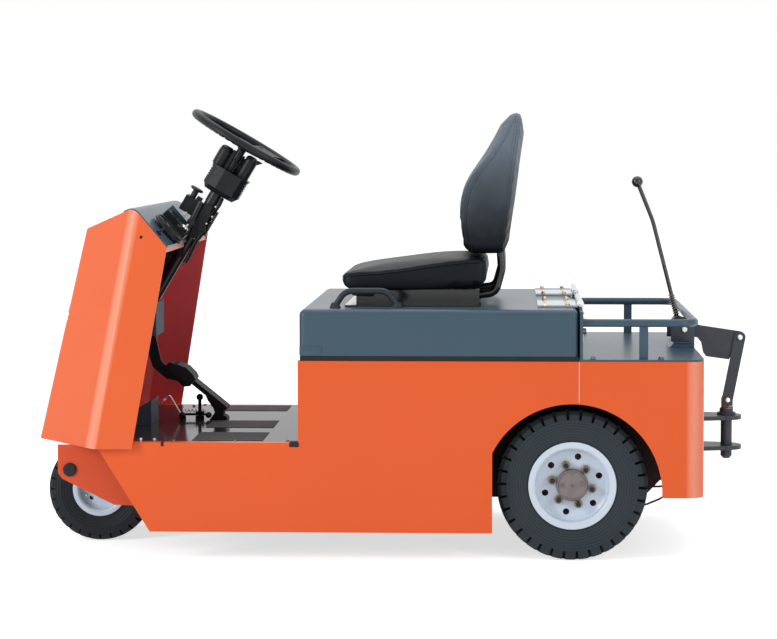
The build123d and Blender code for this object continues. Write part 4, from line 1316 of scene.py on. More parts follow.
@dataclass
class FastenerRow:
    """Fasteners of one kind and finish on one body."""

    name: str
    body: str
    kind: Hardware
    finish: Finish
    across: float
    places: tuple[tuple[Point, Point], ...]
    slot: str = "zinc"
    turn_step: float = 17.0
    washer_edge: float = 0.4

    def ringed(self, name: str, shares: Profile, sides: int) -> Piece:
        """Turn a piece whose profile is given in shares of the fastener's size."""
        profile = tuple((radius * self.across, height * self.across) for radius, height in shares)
        return turned(name, profile, sides)

    def template(self) -> Piece:
        """Make one fastener standing on the origin."""
        size = self.across
        parts = []
        if self.kind in (Hardware.BOLT, Hardware.NUT_ON_STUD, Hardware.DOME_NUT):
            rings = ((0.66, 0.0), (0.72, self.washer_edge / size), (0.72, 0.09), (0.68, 0.13))
            parts.append(self.ringed("washer", rings, 24))
        if self.kind is Hardware.BOLT:
            parts.append(hexagon("head", size, size * 0.62))
        elif self.kind is Hardware.NUT_ON_STUD:
            stud = self.ringed("stud", ((0.3, 0.0), (0.3, 1.02), (0.24, 1.1)), 16)
            parts += [hexagon("nut", size, size * 0.8), stud]
        elif self.kind is Hardware.DOME_NUT:
            dome = tuple((0.46 * math.cos(a), 0.5 + 0.42 * math.sin(a)) for a in (0.0, 0.4, 0.8, 1.15, 1.45))
            parts += [hexagon("nut", size, size * 0.56), self.ringed("dome", ((0.46, 0.4), *dome), 20)]
        elif self.kind is Hardware.RIVET:
            rings = ((0.5, 0.0), (0.5, 0.1), (0.465, 0.2), (0.375, 0.28), (0.2, 0.33))
            parts.append(self.ringed("rivet", rings, 24))
        else:
            rings = ((0.5, 0.0), (0.5, 0.1), (0.4, 0.26), (0.225, 0.32), (0.18, 0.14))
            parts.append(self.ringed("screw", rings, 20))
        return joined(parts, self.name + "_one")

    def build(self, dresser: "Dresser") -> None:
        """Make the row and dress it."""
        one = self.template()
        row = []
        for number, (place, direction) in enumerate(self.places):
            stand = facing(at(*place), direction, self.turn_step * number)
            row.append(copied(one, f"{self.name}_{number}", stand))
        discard(one)
        dresser.seat_piece(joined(row, self.name), self.body, self.finish)


def mirrored(places: Iterable[Point], direction: Point) -> tuple[tuple[Point, Point], ...]:
    """Return the places on both sides of the tractor, with their direction."""
    return tuple(((x, side * y, z), (direction[0], -side * direction[1], direction[2]))
                 for x, y, z in places for side in SIDES)


def pinned(x: float, near: float, far: float, z: float) -> tuple[tuple[Point, Point], ...]:
    """Return the two ends of a pin along Y, each with its outward direction."""
    return (((x, near, z), NEAR), ((x, far, z), FAR))


def fastener_rows() -> list[FastenerRow]:
    """Return all rows of bolts, nuts, rivets and screws."""
    hinges = (-327.0, -95.0, 135.0, 380.0)
    hinge_tops = tuple(((x, y, 698.0), UP) for y in hinges for x in (426.0, 487.0))
    hinge_backs = tuple(((530.0, y, 660.0), BACK) for y in hinges)
    deck = mirrored([(x, 412.0, DECK_TOP) for x in (554.0, 739.0)], UP)
    cowl_feet = mirrored([(x, 384.0, FLOOR_TOP) for x in (-694.0, -655.0)], UP)
    platform = mirrored([(x, 393.0, FLOOR_TOP) for x in (-600.0, -430.0, -285.0)], UP)
    lamp_sides = tuple(((REAR_FACE, side * 300 + dx, 480.0), BACK) for side in SIDES for dx in (-43, 43))
    bulkhead = tuple(((526.0, y, 636.0), BACK) for y in (-410.0, 410.0, 30.0))
    return [
        FastenerRow("hinge_nuts", "hood_body", Hardware.DOME_NUT, BRASS, 11.0, hinge_tops),
        FastenerRow("hinge_plate_nuts", "chassis", Hardware.NUT_ON_STUD, BRASS, 10.0, hinge_backs),
        FastenerRow("deck_bolts", "chassis", Hardware.BOLT, DARK_ZINC, 12.0, deck),
        FastenerRow("cowl_foot_bolts", "chassis", Hardware.BOLT, ZINC, 9.0, cowl_feet),
        FastenerRow("platform_screws", "chassis", Hardware.SCREW, DARK_ZINC, 9.0, platform),
        FastenerRow("bracket_bolts", "chassis", Hardware.BOLT, ZINC, 15.0, pinned(829.5, -79.0, 79.0, 612.0)),
        FastenerRow("link_pins", "link", Hardware.RIVET, BRIGHT, 15.0, pinned(995.0, -18.8, 12.8, 584.0)),
        FastenerRow("tang_pins", "link", Hardware.RIVET, BRIGHT, 15.0, pinned(960.0, -18.8, 12.8, 401.0)),
        FastenerRow("lamp_screws", "chassis", Hardware.SCREW, ZINC, 7.0, lamp_sides),
        FastenerRow("bulkhead_bolts", "chassis", Hardware.BOLT, DARK_ZINC, 12.0, bulkhead),
    ]


@dataclass
class WheelTrim:
    """Hub caps, nuts and valves of the wheels."""

    nut_ring: float = 56.0
    nut_across: float = 17.0
    nut_height: float = 15.0
    nut_turn: float = 12.0
    nut_count: int = 6
    cap_radius: float = 43.0
    cap_sink: float = 4.0
    # turn in degrees and distance from the middle
    cap_screws: tuple[tuple[float, float], ...] = ((8.0, 29.0), (176.0, 28.0))
    disc_out: float = 25.4
    valve_turn: float = 205.0
    valve_ring: float = 56.0
    valve_out: float = 86.0
    valve_lean: float = 0.25
    washer: Profile = ((12.5, 0), (12.5, 2.0), (11.6, 2.8))
    stud: Profile = ((5.6, 0), (5.6, 18.0), (4.6, 19.2))
    socket: Profile = ((7.4, 14.0), (7.4, 15.4), (6.4, 15.9))
    cap_screw: Profile = ((5.5, 7.0), (5.5, 9.0), (4.4, 10.2), (2.6, 10.6), (2.0, 9.2))
    valve: Profile = ((4.6, 0), (4.6, 9), (3.4, 11), (3.4, 22), (4.0, 23), (4.0, 30), (2.6, 33))

    def cap(self, side: int) -> Piece:
        """Make a hub cap with a raised rim, a punched centre and two screws.

        Args:
            side: -1 for the left wheel, 1 for the right.

        Returns:
            The cap.
        """
        r = self.cap_radius
        rings = ((r + 1.5, 0), (r + 1.5, 3), (r, 5), (r, 8), (r - 1.5, 9.5), (r - 4, 9.5), (r - 5, 8),
                 (r - 6, 7), (12, 7.6), (4, 7.6), (3.2, 5.5))
        parts = [turned("cap", rings, 64)]
        screw = turned("screw", self.cap_screw, 20)
        for turn, radius in self.cap_screws:
            spot = ray(math.radians(turn)) * radius * MM
            parts.append(copied(screw, "screw_copy", Matrix.Translation(spot)))
        discard(screw)
        return joined(parts, "hub_cap_left" if side < 0 else "hub_cap_right")

    def nuts(self, wheel: str, axle: Vector, side: int, dresser: "Dresser") -> None:
        """Put the ring of wheel nuts and their studs on a wheel's disc.

        Args:
            wheel: The wheel's body.
            axle: Its axle's place.
            side: -1 for the left wheel, 1 for the right.
            dresser: Gives out the materials.
        """
        one = joined([turned("washer", self.washer, 24), hexagon("nut", self.nut_across, self.nut_height)],
                     "nut_one")
        core = joined([turned("stud", self.stud, 18), turned("socket", self.socket, 18)], "stud_one")
        nuts, studs = [], []
        for i in range(self.nut_count):
            step = 360.0 / self.nut_count * i
            spoke = ray(math.radians(self.nut_turn + step)) * self.nut_ring * MM
            spot = Vector((axle.x + spoke.x, axle.y + side * self.disc_out * MM, axle.z - spoke.y))
            nuts.append(copied(one, f"nut_{i}", facing(spot, outward(side), 30.0 + step)))
            studs.append(copied(core, f"stud_{i}", facing(spot, outward(side))))
        discard(one, core)
        dresser.fit(nuts, wheel + "_nuts", wheel, OLIVE_ZINC)
        dresser.fit(studs, wheel + "_studs", wheel, FRAME_BLACK)

    def rear(self, dresser: "Dresser") -> None:
        """Trim both rear wheels."""
        for wheel in ("rear_wheel_left", "rear_wheel_right"):
            axle = Vector(AXLE_PLACES[wheel + "_spin"])
            side = -1 if axle.y < 0 else 1
            low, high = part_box(wheel.replace("wheel", "hub"))
            face = low.y if side < 0 else high.y
            place = Vector((axle.x, face, axle.z)) - Vector(outward(side)) * self.cap_sink * MM
            cap = moved(self.cap(side), facing(place, outward(side), 5.0))
            dresser.seat_piece(cap, wheel, CAP_IRON)
            self.nuts(wheel, axle, side, dresser)

    def valves(self, dresser: "Dresser") -> None:
        """Put a brass valve in each front rim."""
        axle = Vector(AXLE_PLACES["front_wheels_spin"])
        spoke = ray(math.radians(self.valve_turn))
        lean = spoke * self.valve_lean
        stands = []
        for side in SIDES:
            reach = Vector((spoke.x * self.valve_ring, side * self.valve_out, spoke.y * self.valve_ring))
            stands.append(facing(axle + reach * MM, (-lean.x, float(side), -lean.y)))
        stems = stood("valve", self.valve, 20, stands)
        dresser.fit(stems, "front_valves", "front_wheels", BRASS)

    def build(self, dresser: "Dresser") -> None:
        """Trim all the wheels."""
        self.rear(dresser)
        self.valves(dresser)


@dataclass
class Platform:
    """Anti-slip patches, edge plugs, a rubber stop and the pedal linkage of the footwell."""

    # lowest and highest Y of each patch
    patches: tuple[tuple[float, float], ...] = ((266.0, 400.0), (-122.0, 34.0), (-392.0, -224.0))
    patch_span: tuple[float, float] = (-550.0, -353.0)
    patch_height: float = 1.1
    front_plugs: SidePlates = SidePlates((-630, -622), (317, 329.5), 399.0, 431.0, 1.2)
    rear_plugs: SidePlates = SidePlates((-277, -250), (316, 329.5), 399.0, 431.0, 1.6)
    rod: tuple[Point, ...] = ((-716, 75, 366), (-700, 75, 383), (-689, 75, 397), (-683, 75, 397),
                              (-674, 75, 384), (-650, 75, 340))
    rod_radius: float = 2.6
    rod_nuts: tuple[tuple[Point, Point], ...] = (
        ((-650, 75, 338), (-0.5, 0, 0.86)), ((-702, 75, 381), (0.66, 0, 0.75)))
    arm: tuple[Point, Point] = ((-646, 71, 338), (-562, 79, 345))
    arm_pivots: tuple[tuple[Point, Point], ...] = (
        ((-644, 67, 341), NEAR), ((-566, 67, 341), NEAR), ((-644, 75, FLOOR_TOP), UP))
    nut_across: float = 8.0
    nut_height: float = 9.0
    coil_start: Point = (-640, 75, 352)
    coil_radius: float = 5.5
    coil_pitch: float = 2.2
    coil_step: float = 1.3
    coil_points: int = 30
    coil_wire: float = 0.9
    stop_place: Point = (557, 400, DECK_TOP)
    pivot: Profile = ((9, 0), (9, 8), (7, 10), (7, 15), (5, 16))
    stop: Profile = ((7.5, 0), (8, 2), (7, 11), (6, 13.5), (3, 14))

    def patch(self, name: str, y0: float, y1: float) -> Piece:
        """Make one thin patch with softened edges."""
        x0, x1 = self.patch_span
        piece = block(name, (x0, y0, FLOOR_TOP), (x1, y1, FLOOR_TOP + self.patch_height), 0.3, 1)
        with editing(piece):
            bpy.ops.mesh.subdivide(number_cuts=3)
        return piece

    def linkage(self, dresser: "Dresser") -> None:
        """Make the accelerator's rod with its nuts, and the link arm with its pivots and spring."""
        parts = [tube("rod", [at(*place) for place in self.rod], self.rod_radius * MM)]
        for place, direction in self.rod_nuts:
            nut = hexagon("clevis_nut", self.nut_across, self.nut_height)
            parts.append(moved(nut, facing(at(*place), direction)))
        dresser.fit(parts, "pedal_rod", "chassis", ZINC)
        parts = [block("arm", *self.arm, 2.0, 3)]
        pivot = turned("pivot", self.pivot, 20)
        for place, direction in self.arm_pivots:
            parts.append(copied(pivot, "pivot_copy", facing(at(*place), direction)))
        discard(pivot)
        x, y, z = self.coil_start
        coil = []
        for i in range(self.coil_points):
            swing = ray(i * self.coil_step) * self.coil_radius
            coil.append(at(x + self.coil_pitch * i, y + swing.x, z + swing.y))
        parts.append(tube("spring", coil, self.coil_wire * MM, sides=1))
        dresser.fit(parts, "pedal_link_arm", "chassis", BLACK_PLASTIC)

    def build(self, dresser: "Dresser") -> None:
        """Make everything in the footwell, and the stop on the deck."""
        for label, (y0, y1) in zip(("far", "mid", "near"), self.patches):
            dresser.seat_piece(self.patch("grip_" + label, y0, y1), "chassis", GRIT)
        plugs = self.front_plugs.build("edge") + self.rear_plugs.build("edge")
        dresser.fit(plugs, "platform_edge_plugs", "chassis", RUBBER)
        stop = moved(turned("stop", self.stop, 24), facing(at(*self.stop_place), UP))
        dresser.fit([stop], "deck_stops", "chassis", RUBBER)
        self.linkage(dresser)


@dataclass
class Dial:
    """A dial: ring, face, ticks, needle and boss."""

    name: str
    share: float
    side: float
    height: float
    radius: float
    ticks: int
    needle: float
    first_tick: float = -210.0
    sweep: float = 240.0
    rim: float = 7.0
    long_tick: float = 13.0
    short_tick: float = 10.0
    face_top: float = 1.8
    tick: Profile = ((0.9, 0.0), (0.9, 0.3), (0.7, 0.5))
    tick_length: float = 4.2
    hand: Profile = ((1.0, 2.2), (1.0, 2.8), (0.6, 3.1))
    hand_reach: float = 0.55
    boss: Profile = ((4.4, 1.8), (4.4, 3.6), (3.2, 4.3))

    def stroke(self, name: str, profile: Profile, turn: float, place: Vector, length: float) -> Piece:
        """Make one flat stroke on the face.

        Args:
            name: The object's name.
            profile: Half width and height of each ring in millimetres.
            turn: The stroke's direction in radians.
            place: Its middle in metres.
            length: How many times as long as it is wide.

        Returns:
            The stroke.
        """
        shape = Matrix.Rotation(turn, 4, "Z") @ Matrix.Diagonal((length, 1.0, 1.0, 1.0)) @ SQUARE_ON
        return moved(turned(name, profile, 4), Matrix.Translation(place) @ shape)

    def marks(self) -> list[Piece]:
        """Return the ticks and the needle."""
        made = []
        for i in range(self.ticks):
            turn = math.radians(self.first_tick + self.sweep * i / (self.ticks - 1))
            inner = self.radius - (self.long_tick if i % 2 == 0 else self.short_tick)
            spot = ray(turn) * (inner + self.radius - self.rim) / 2 * MM
            spot.z = self.face_top * MM
            made.append(self.stroke("mark", self.tick, turn, spot, self.tick_length))
        reach = self.radius * self.hand_reach
        turn = math.radians(self.needle)
        made.append(self.stroke("hand", self.hand, turn, ray(turn) * reach * 0.42 * MM, reach * 0.6))
        return made

    def build(self, stand: Matrix) -> list[tuple[Piece, Finish]]:
        """Make the dial.

        Args:
            stand: The matrix that puts it on the dash.

        Returns:
            Pairs of a piece and its finish.
        """
        r = self.radius
        ring = turned("ring", ((r, 0), (r, 4.5), (r - 1.2, 6), (r - 3.5, 6), (r - 4.5, 1.5)), 56)
        face = turned("face", ((r - 4, 0), (r - 4, 1.2), (r - 4.4, self.face_top)), 56)
        marks = joined(self.marks(), self.name + "_marks")
        boss = turned("boss", self.boss, 20)
        dark = joined([moved(ring, stand), moved(boss, stand)], self.name + "_ring")
        return [(dark, BLACK_PLASTIC), (moved(face, stand), DIAL_FACE), (moved(marks, stand), PALE_PLASTIC)]


@dataclass
class Dash:
    """Dials, key, lamps and bare plates of the dash slope."""

    origin: Point = (-706.0, 0.0, 971.0)
    slope: Point = (0.645, 0.0, -0.764)
    normal: Point = (0.764, 0.0, 0.645)
    length: float = 142.6
    panel: float = 3.0
    dials: tuple[Dial, ...] = (
        Dial("hour_dial", share=0.68, side=-244.0, height=16.0, radius=50.0, ticks=13, needle=140.0),
        Dial("charge_dial", share=0.50, side=-40.0, height=18.4, radius=25.0, ticks=7, needle=60.0),
    )
    # share down the slope, side, and size along and across it
    plates: tuple[tuple[float, float, float, float], ...] = (
        (0.53, -197.0, 12.0, 26.0), (0.60, 22.0, 11.0, 22.0),
        (0.35, 180.0, 34.0, 60.0), (0.75, 260.0, 22.0, 46.0))
    plate: Profile = ((0.7071, 0.0), (0.7071, 0.5), (0.69, 0.8))
    # share down the slope, side, height and turn
    key_place: tuple[float, float, float, float] = (0.82, -150.0, 37.5, 20.0)
    bow_height: float = 24.0
    light_share: float = 0.42
    light_sides: tuple[float, ...] = (60.0, 92.0, 124.0)
    barrel: Profile = ((11, 0), (11, 3), (9.4, 4.4), (6, 4.4), (5.2, 3.2))
    bow: Profile = ((10, -1.2), (10.6, -0.8), (10.6, 0.8), (10, 1.2))
    blade: Profile = ((3.2, 3.0), (3.2, 15.0), (2.6, 16.0))
    light: Profile = ((8.5, 0), (8.5, 2.4), (7.4, 3.4), (6.2, 3.4), (5.6, 5.0), (3.5, 6.6), (1.2, 7.2))

    def stand(self, share: float, side: float, height: float, turn: float = 0.0) -> Matrix:
        """Return the matrix that stands a piece on the slope, its X pointing down the slope.

        Args:
            share: Place down the slope, from 0 to 1.
            side: Y in millimetres.
            height: Height over the slope in millimetres.
            turn: Rotation about the slope's normal in degrees.

        Returns:
            The matrix.
        """
        x, z = Vector(self.slope), Vector(self.normal)
        start = Vector(self.origin) + x * self.length * share + z * height
        swing = Matrix((x, z.cross(x), z)).transposed().to_4x4()
        spin = Matrix.Rotation(math.radians(turn), 4, "Z")
        return Matrix.Translation(at(start.x, side, start.z)) @ swing @ spin

    def key(self) -> list[tuple[Piece, Finish]]:
        """Make the key in its lock barrel."""
        barrel = turned("barrel", self.barrel, 32)
        upright = Matrix.Rotation(math.radians(90), 4, "X") @ Matrix.Diagonal((1.25, 1.0, 1.0, 1.0))
        lift = Matrix.Translation(Vector(UP) * self.bow_height * MM)
        bow = moved(turned("bow", self.bow, 28), lift @ upright)
        blade = moved(turned("blade", self.blade, 4), Matrix.Diagonal((1.0, 0.45, 1.0, 1.0)))
        stand = self.stand(*self.key_place)
        lock = joined([moved(barrel, stand), moved(blade, stand)], "key_lock")
        return [(lock, ZINC), (moved(bow, stand), BLACK_PLASTIC)]

    def bare_plates(self) -> Piece:
        """Make the bare pale plates stuck on the slope."""
        made = []
        for share, side, along, across in self.plates:
            shape = Matrix.Diagonal((along, across, 1.0, 1.0)) @ SQUARE_ON
            made.append(moved(turned("plate", self.plate, 4), self.stand(share, side, self.panel) @ shape))
        return joined(made, "dash_plates")

    def build(self, dresser: "Dresser") -> None:
        """Make and dress all of them."""
        groups = []
        for dial in self.dials:
            groups += dial.build(self.stand(dial.share, dial.side, dial.height))
        for number, (piece, finish) in enumerate(groups + self.key()):
            piece.name = f"dash_part_{number}"
            dresser.seat_piece(piece, "chassis", finish)
        dresser.seat_piece(self.bare_plates(), "chassis", PALE_PLASTIC)
        stands = [self.stand(self.light_share, side, self.panel) for side in self.light_sides]
        lights = stood("light", self.light, 24, stands)
        dresser.fit(lights, "dash_lights", "chassis", RED_LENS)


@dataclass
class SteeringTrim:
    """Wiring, shroud and hub skirt of the steering head."""

    top: Point = (-443.0, 0.0, 1149.0)
    tilt: float = 30.6
    # each wire's lift from the axis, its side and its radius
    wires: tuple[Point, ...] = ((19.0, -10.0, 3.0), (25.0, 4.0, 2.4), (21.0, 13.0, 2.2))
    wire_from: float = 176.0
    wire_step: float = 20.0
    wire_points: int = 12
    wire_sway: tuple[float, float] = (2.5, 3.0)
    wire_waves: tuple[float, float] = (1.9, 1.4)
    # distance down the column, side and lift
    conduit_place: Point = (222.0, -4.0, 30.0)
    conduit_pitch: float = 5.0
    conduit_ribs: int = 16
    # distance down the column, side and lift of each clip
    clips: tuple[Point, ...] = (
        (206, -22, 20), (236, -23, 26), (262, -22, 22), (292, -20, 22), (318, -12, 12))
    # lift, half width, height and depth of each rib
    shroud_ribs: tuple[tuple[float, float, float, float], ...] = (
        (2.0, 17.0, 52.0, 27.0), (-9.0, 3.0, 58.0, 24.0), (14.0, 3.0, 58.0, 24.0))
    plug: tuple[Point, Point] = ((-625, -38, 936), (-613, -22, 947))
    plug_tail: tuple[Point, Point] = ((-623, -34, 930), (-616, -27, 936.5))
    shroud_y: float = 15.0
    shroud_place: float = 97.0
    skirt_place: float = 64.0
    conduit_rib: Profile = ((5.2, 0), (6.4, 1.0), (6.4, 3.0), (5.2, 4.0))
    clip: Profile = ((3.0, 0), (3.0, 1.6), (2.2, 2.4))
    skirt: Profile = ((11.5, 0), (12.5, 2), (12.5, 37), (16, 41), (26, 46), (30, 49), (30, 52), (28, 53))

    def along(self, distance: float, side: float = 0.0, lift: float = 0.0) -> Vector:
        """Return a point by its distance down the column, its side and its lift from the axis."""
        tilt = math.radians(self.tilt)
        x = self.top[0] - math.sin(tilt) * distance + math.cos(tilt) * lift
        z = self.top[2] - math.cos(tilt) * distance - math.sin(tilt) * lift
        return at(x, side, z)

    def axis(self) -> Point:
        """Return the direction from the column up to the wheel."""
        tilt = math.radians(self.tilt)
        return (math.sin(tilt), 0.0, math.cos(tilt))

    def stand(self, distance: float) -> Matrix:
        """Return the matrix that puts a piece on the column, its Z up the axis and its X across it."""
        up = Vector(self.axis())
        rows = Matrix((Vector((up.z, 0.0, -up.x)), Vector(FAR), up)).transposed()
        return Matrix.Translation(self.along(distance)) @ rows.to_4x4()

    def harness(self, dresser: "Dresser") -> None:
        """Run the three wires and the ribbed conduit down the column, with their clips and plug."""
        wires = []
        sway_y, sway_lift = self.wire_sway
        wave_y, wave_lift = self.wire_waves
        for offset, side, radius in self.wires:
            path = []
            for i in range(self.wire_points):
                across = side + sway_y * math.sin(i * wave_y + side)
                lift = offset + sway_lift * math.sin(i * wave_lift)
                path.append(self.along(self.wire_from + i * self.wire_step, across, lift))
            wires.append(tube("wire", path, radius * MM))
        dresser.fit(wires, "column_wires", "chassis", JACKET)
        first, side, lift = self.conduit_place
        stands = [facing(self.along(first + i * self.conduit_pitch, side, lift), self.axis())
                  for i in range(self.conduit_ribs)]
        rings = stood("rib", self.conduit_rib, 20, stands)
        dresser.fit(rings, "column_conduit", "chassis", BLACK_PLASTIC)
        stands = [facing(self.along(distance, side - 3, lift), NEAR) for distance, side, lift in self.clips]
        clips = stood("clip", self.clip, 12, stands)
        dresser.fit(clips, "column_clips", "chassis", ZINC)
        plug = [block("plug", *self.plug, 1.4), block("tail", *self.plug_tail, 0.8)]
        dresser.fit(plug, "harness_plug", "chassis", PALE_PLASTIC)

    def shroud(self, dresser: "Dresser") -> None:
        """Make the ribbed shroud between the two switch caps, behind the shaft."""
        ribs = []
        for lift, half, height, depth in self.shroud_ribs:
            middle = lift - ORIGIN_X / MM
            rib = block("rib", (middle - half, self.shroud_y, 0.0), (middle + half, depth, height), 1.6)
            ribs.append(moved(rib, self.stand(self.shroud_place)))
        dresser.fit(ribs, "column_shroud", "chassis", BLACK_PLASTIC)

    def hub(self, dresser: "Dresser") -> None:
        """Make the wheel's hub skirt under the spokes."""
        skirt = moved(turned("hub_skirt", self.skirt, 40), facing(self.along(self.skirt_place), self.axis()))
        dresser.seat_piece(skirt, "steering_wheel_body", BLACK_PLASTIC)

    def build(self, dresser: "Dresser") -> None:
        """Make everything on the steering head."""
        self.harness(dresser)
        self.shroud(dresser)
        self.hub(dresser)


@dataclass
class Lights:
    """Bezels, rims and lenses of the head and tail lamps."""

    head_z: float = 640.0
    head_y: float = 130.0
    head_r: float = 62.0
    tail_z: float = 480.0
    tail_y: float = 300.0
    tail_r: float = 34.0
    nose_foot: Point = (-1006.0, 0.0, 311.0)
    nose_rise: Point = (137.6, 0.0, 594.4)

    def head(self, dresser: "Dresser") -> None:
        """Make a chrome bezel and a domed lens for each head lamp."""
        r = self.head_r
        bezel = ((r + 6, 0.5), (r + 6, 5), (r + 4, 9), (r - 1, 10.5), (r - 5, 9.4), (r - 6, 8.0))
        lens = ((r, 0.3), (r, 7.5), (r - 4, 8.4), (r - 6, 9.6), (r - 16, 11.6), (r - 30, 13.0),
                (r - 48, 13.8), (4, 14.0))
        lean = Vector(self.nose_rise).normalized()
        share = (self.head_z - self.nose_foot[2]) / self.nose_rise[2]
        x = self.nose_foot[0] + self.nose_rise[0] * share
        stands = [facing(at(x, side * self.head_y, self.head_z), (-lean.z, 0.0, lean.x)) for side in SIDES]
        bezels = stood("bezel", bezel, 64, stands)
        dresser.fit(bezels, "head_lamp_bezels", "chassis", CHROME)
        lenses = joined(stood("lens", lens, 56, stands), "head_lamp_lenses")
        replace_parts(dresser.seat_piece(lenses, "chassis", LENS), "lamps")

    def tail(self, dresser: "Dresser") -> None:
        """Make a black rim and a flat red lens for each tail lamp."""
        r = self.tail_r
        rim = ((r + 5, 0.3), (r + 5, 1.6), (r + 3.4, 2.6), (r + 0.8, 2.6), (r + 0.8, 0.3))
        lens = ((r + 0.4, 0.3), (r + 0.4, 2.2), (r - 1, 2.8), (r - 12, 3.3), (3, 3.6))
        stands = [facing(at(REAR_FACE, side * self.tail_y, self.tail_z), BACK) for side in SIDES]
        rims = stood("rim", rim, 56, stands)
        dresser.fit(rims, "tail_lamp_rims", "chassis", BLACK_PLASTIC)
        lenses = joined(stood("tail", lens, 48, stands), "tail_lamp_lenses")
        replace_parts(dresser.seat_piece(lenses, "chassis", RED_LENS), "lamps")

    def build(self, dresser: "Dresser") -> None:
        """Make the lamps at both ends."""
        self.head(dresser)
        self.tail(dresser)


@dataclass
class HitchTrim:
    """Dark cheek plates, weld beads, pin nut and the spring wound round the lever rod."""

    facings: SidePlates = SidePlates((790, 851), (577, 620), 79.4, 81.6, 1.0)
    weld_y: float = 79.2
    weld_z: float = 573.0
    weld_span: tuple[float, float] = (806.0, 852.0)
    drop_radius: float = 3.4
    drops: int = 12
    nut_place: Point = (960, 0, 375)
    nut_across: float = 30.0
    nut_height: float = 12.0
    washer: Profile = ((19, 0), (19, 2.4), (18, 3))
    spring_foot: Point = (812.5, 0, 647)
    spring_head: Point = (797, 0, 707)
    spring_wire: float = 1.6
    spring_radius: float = 8.2
    spring_turns: int = 9
    spring_steps: int = 12

    def weld(self, side: int) -> Piece:
        """Make a bead of overlapping drops under one cheek."""
        r = self.drop_radius
        drop = turned("drop", ((r, -1.0), (r * 0.96, r * 0.3), (r * 0.7, r * 0.62), (r * 0.3, r * 0.8)), 10)
        first, last = (at(x, side * self.weld_y, self.weld_z) for x in self.weld_span)
        row = [copied(drop, "bead", facing(first.lerp(last, i / (self.drops - 1)), outward(side)))
               for i in range(self.drops)]
        discard(drop)
        return joined(row, "weld")

    def spring(self) -> Piece:
        """Wind the return spring round the lower end of the lever rod."""
        foot, head = at(*self.spring_foot), at(*self.spring_head)
        across = (head - foot).normalized().cross(Vector(FAR)).normalized()
        count = self.spring_turns * self.spring_steps
        path = []
        for i in range(count + 1):
            angle = 2 * math.pi * i / self.spring_steps
            swing = across * math.cos(angle) + Vector(FAR) * math.sin(angle)
            path.append(foot.lerp(head, i / count) + swing * self.spring_radius * MM)
        return tube("lever_spring", path, self.spring_wire * MM, sides=2)

    def build(self, dresser: "Dresser") -> None:
        """Make them all."""
        dresser.fit(self.facings.build("cheek"), "bracket_facings", "chassis", CHARCOAL)
        dresser.fit([self.weld(side) for side in SIDES], "bracket_welds", "chassis", SLATE)
        head = hexagon("nut", self.nut_across, self.nut_height)
        nut = joined([turned("washer", self.washer, 32), head], "pin_nut")
        dresser.seat_piece(moved(nut, facing(at(*self.nut_place), UP, 12.0)), "pin", DARK_ZINC)
        dresser.seat_piece(self.spring(), "lever", DARK_ZINC)


@dataclass
class BodySeams:
    """Beads where the body sheets meet, pale orange as a painted highlight along the seam's edge, and the
    rolled ends of the hinges.
    """

    beads: SidePlates = SidePlates((514.7, 517.3), (441, 551), 429.0, 430.8, 0.7)
    curl_places: tuple[Point, ...] = ((522, -341, 705), (522, 111, 705))
    curl: Profile = ((8.9, 0), (8.9, 1.6), (7.4, 2.6), (6.6, 1.2), (5.0, 1.2), (4.2, 2.8), (2.2, 3.2))

    def build(self, dresser: "Dresser") -> None:
        """Make the beads and the rolled ends."""
        dresser.fit(self.beads.build("bead"), "body_seam_beads", "chassis", SEAM_HIGHLIGHT_PAINT)
        curls = stood("curl", self.curl, 32, [facing(at(*place), NEAR) for place in self.curl_places])
        dresser.fit(curls, "hinge_curls", "chassis", BRIGHT)


@dataclass
class SeatMount:
    """Slide rails, adjuster and pins under the cushion, and the hood's side lips."""

    lips: SidePlates = SidePlates((-248, -187), (568, 594), 429.6, 431.4, 0.8)
    rail_y: float = 150.0
    # ends in X, half width, bottom and top, rounding and its steps
    rails: tuple[tuple[float, float, float, float, float, float, int], ...] = (
        (-110, 215, 18, 700, 708, 1.5, 2), (-96, 228, 13, 709, 724, 2.5, 3))
    pin_x: tuple[float, ...] = (-20.0, 52.0, 70.0, 112.0, 120.0)
    pin_y: float = 163.0
    pin_z: float = 717.0
    pin: Profile = ((3.6, 0), (3.6, 1.4), (2.2, 2.4))
    adjuster_radius: float = 4.2
    adjuster: tuple[Point, ...] = ((-60, -176, 716), (-104, -178, 716), (-118, -178, 718), (-122, -160, 720),
                                   (-124, -120, 720))

    def build(self, dresser: "Dresser") -> None:
        """Make the slides, their pins, the adjusting handle and the lips."""
        slides = []
        for y in (-self.rail_y, self.rail_y):
            for x0, x1, half, z0, z1, edge, steps in self.rails:
                slides.append(block("rail", (x0, y - half, z0), (x1, y + half, z1), edge, steps))
        dresser.fit(slides, "seat_slides", "hood_body", DARK_ZINC)
        stands = [facing(at(x, side * self.pin_y, self.pin_z), outward(side))
                  for x in self.pin_x for side in SIDES]
        pins = stood("pin", self.pin, 14, stands)
        dresser.fit(pins, "seat_slide_pins", "hood_body", ZINC)
        handle = tube("adjuster", [at(*place) for place in self.adjuster], self.adjuster_radius * MM)
        dresser.seat_piece(handle, "hood_body", BLACK_PLASTIC)
        dresser.fit(self.lips.build("lip"), "hood_lips", "hood_body", SLATE)


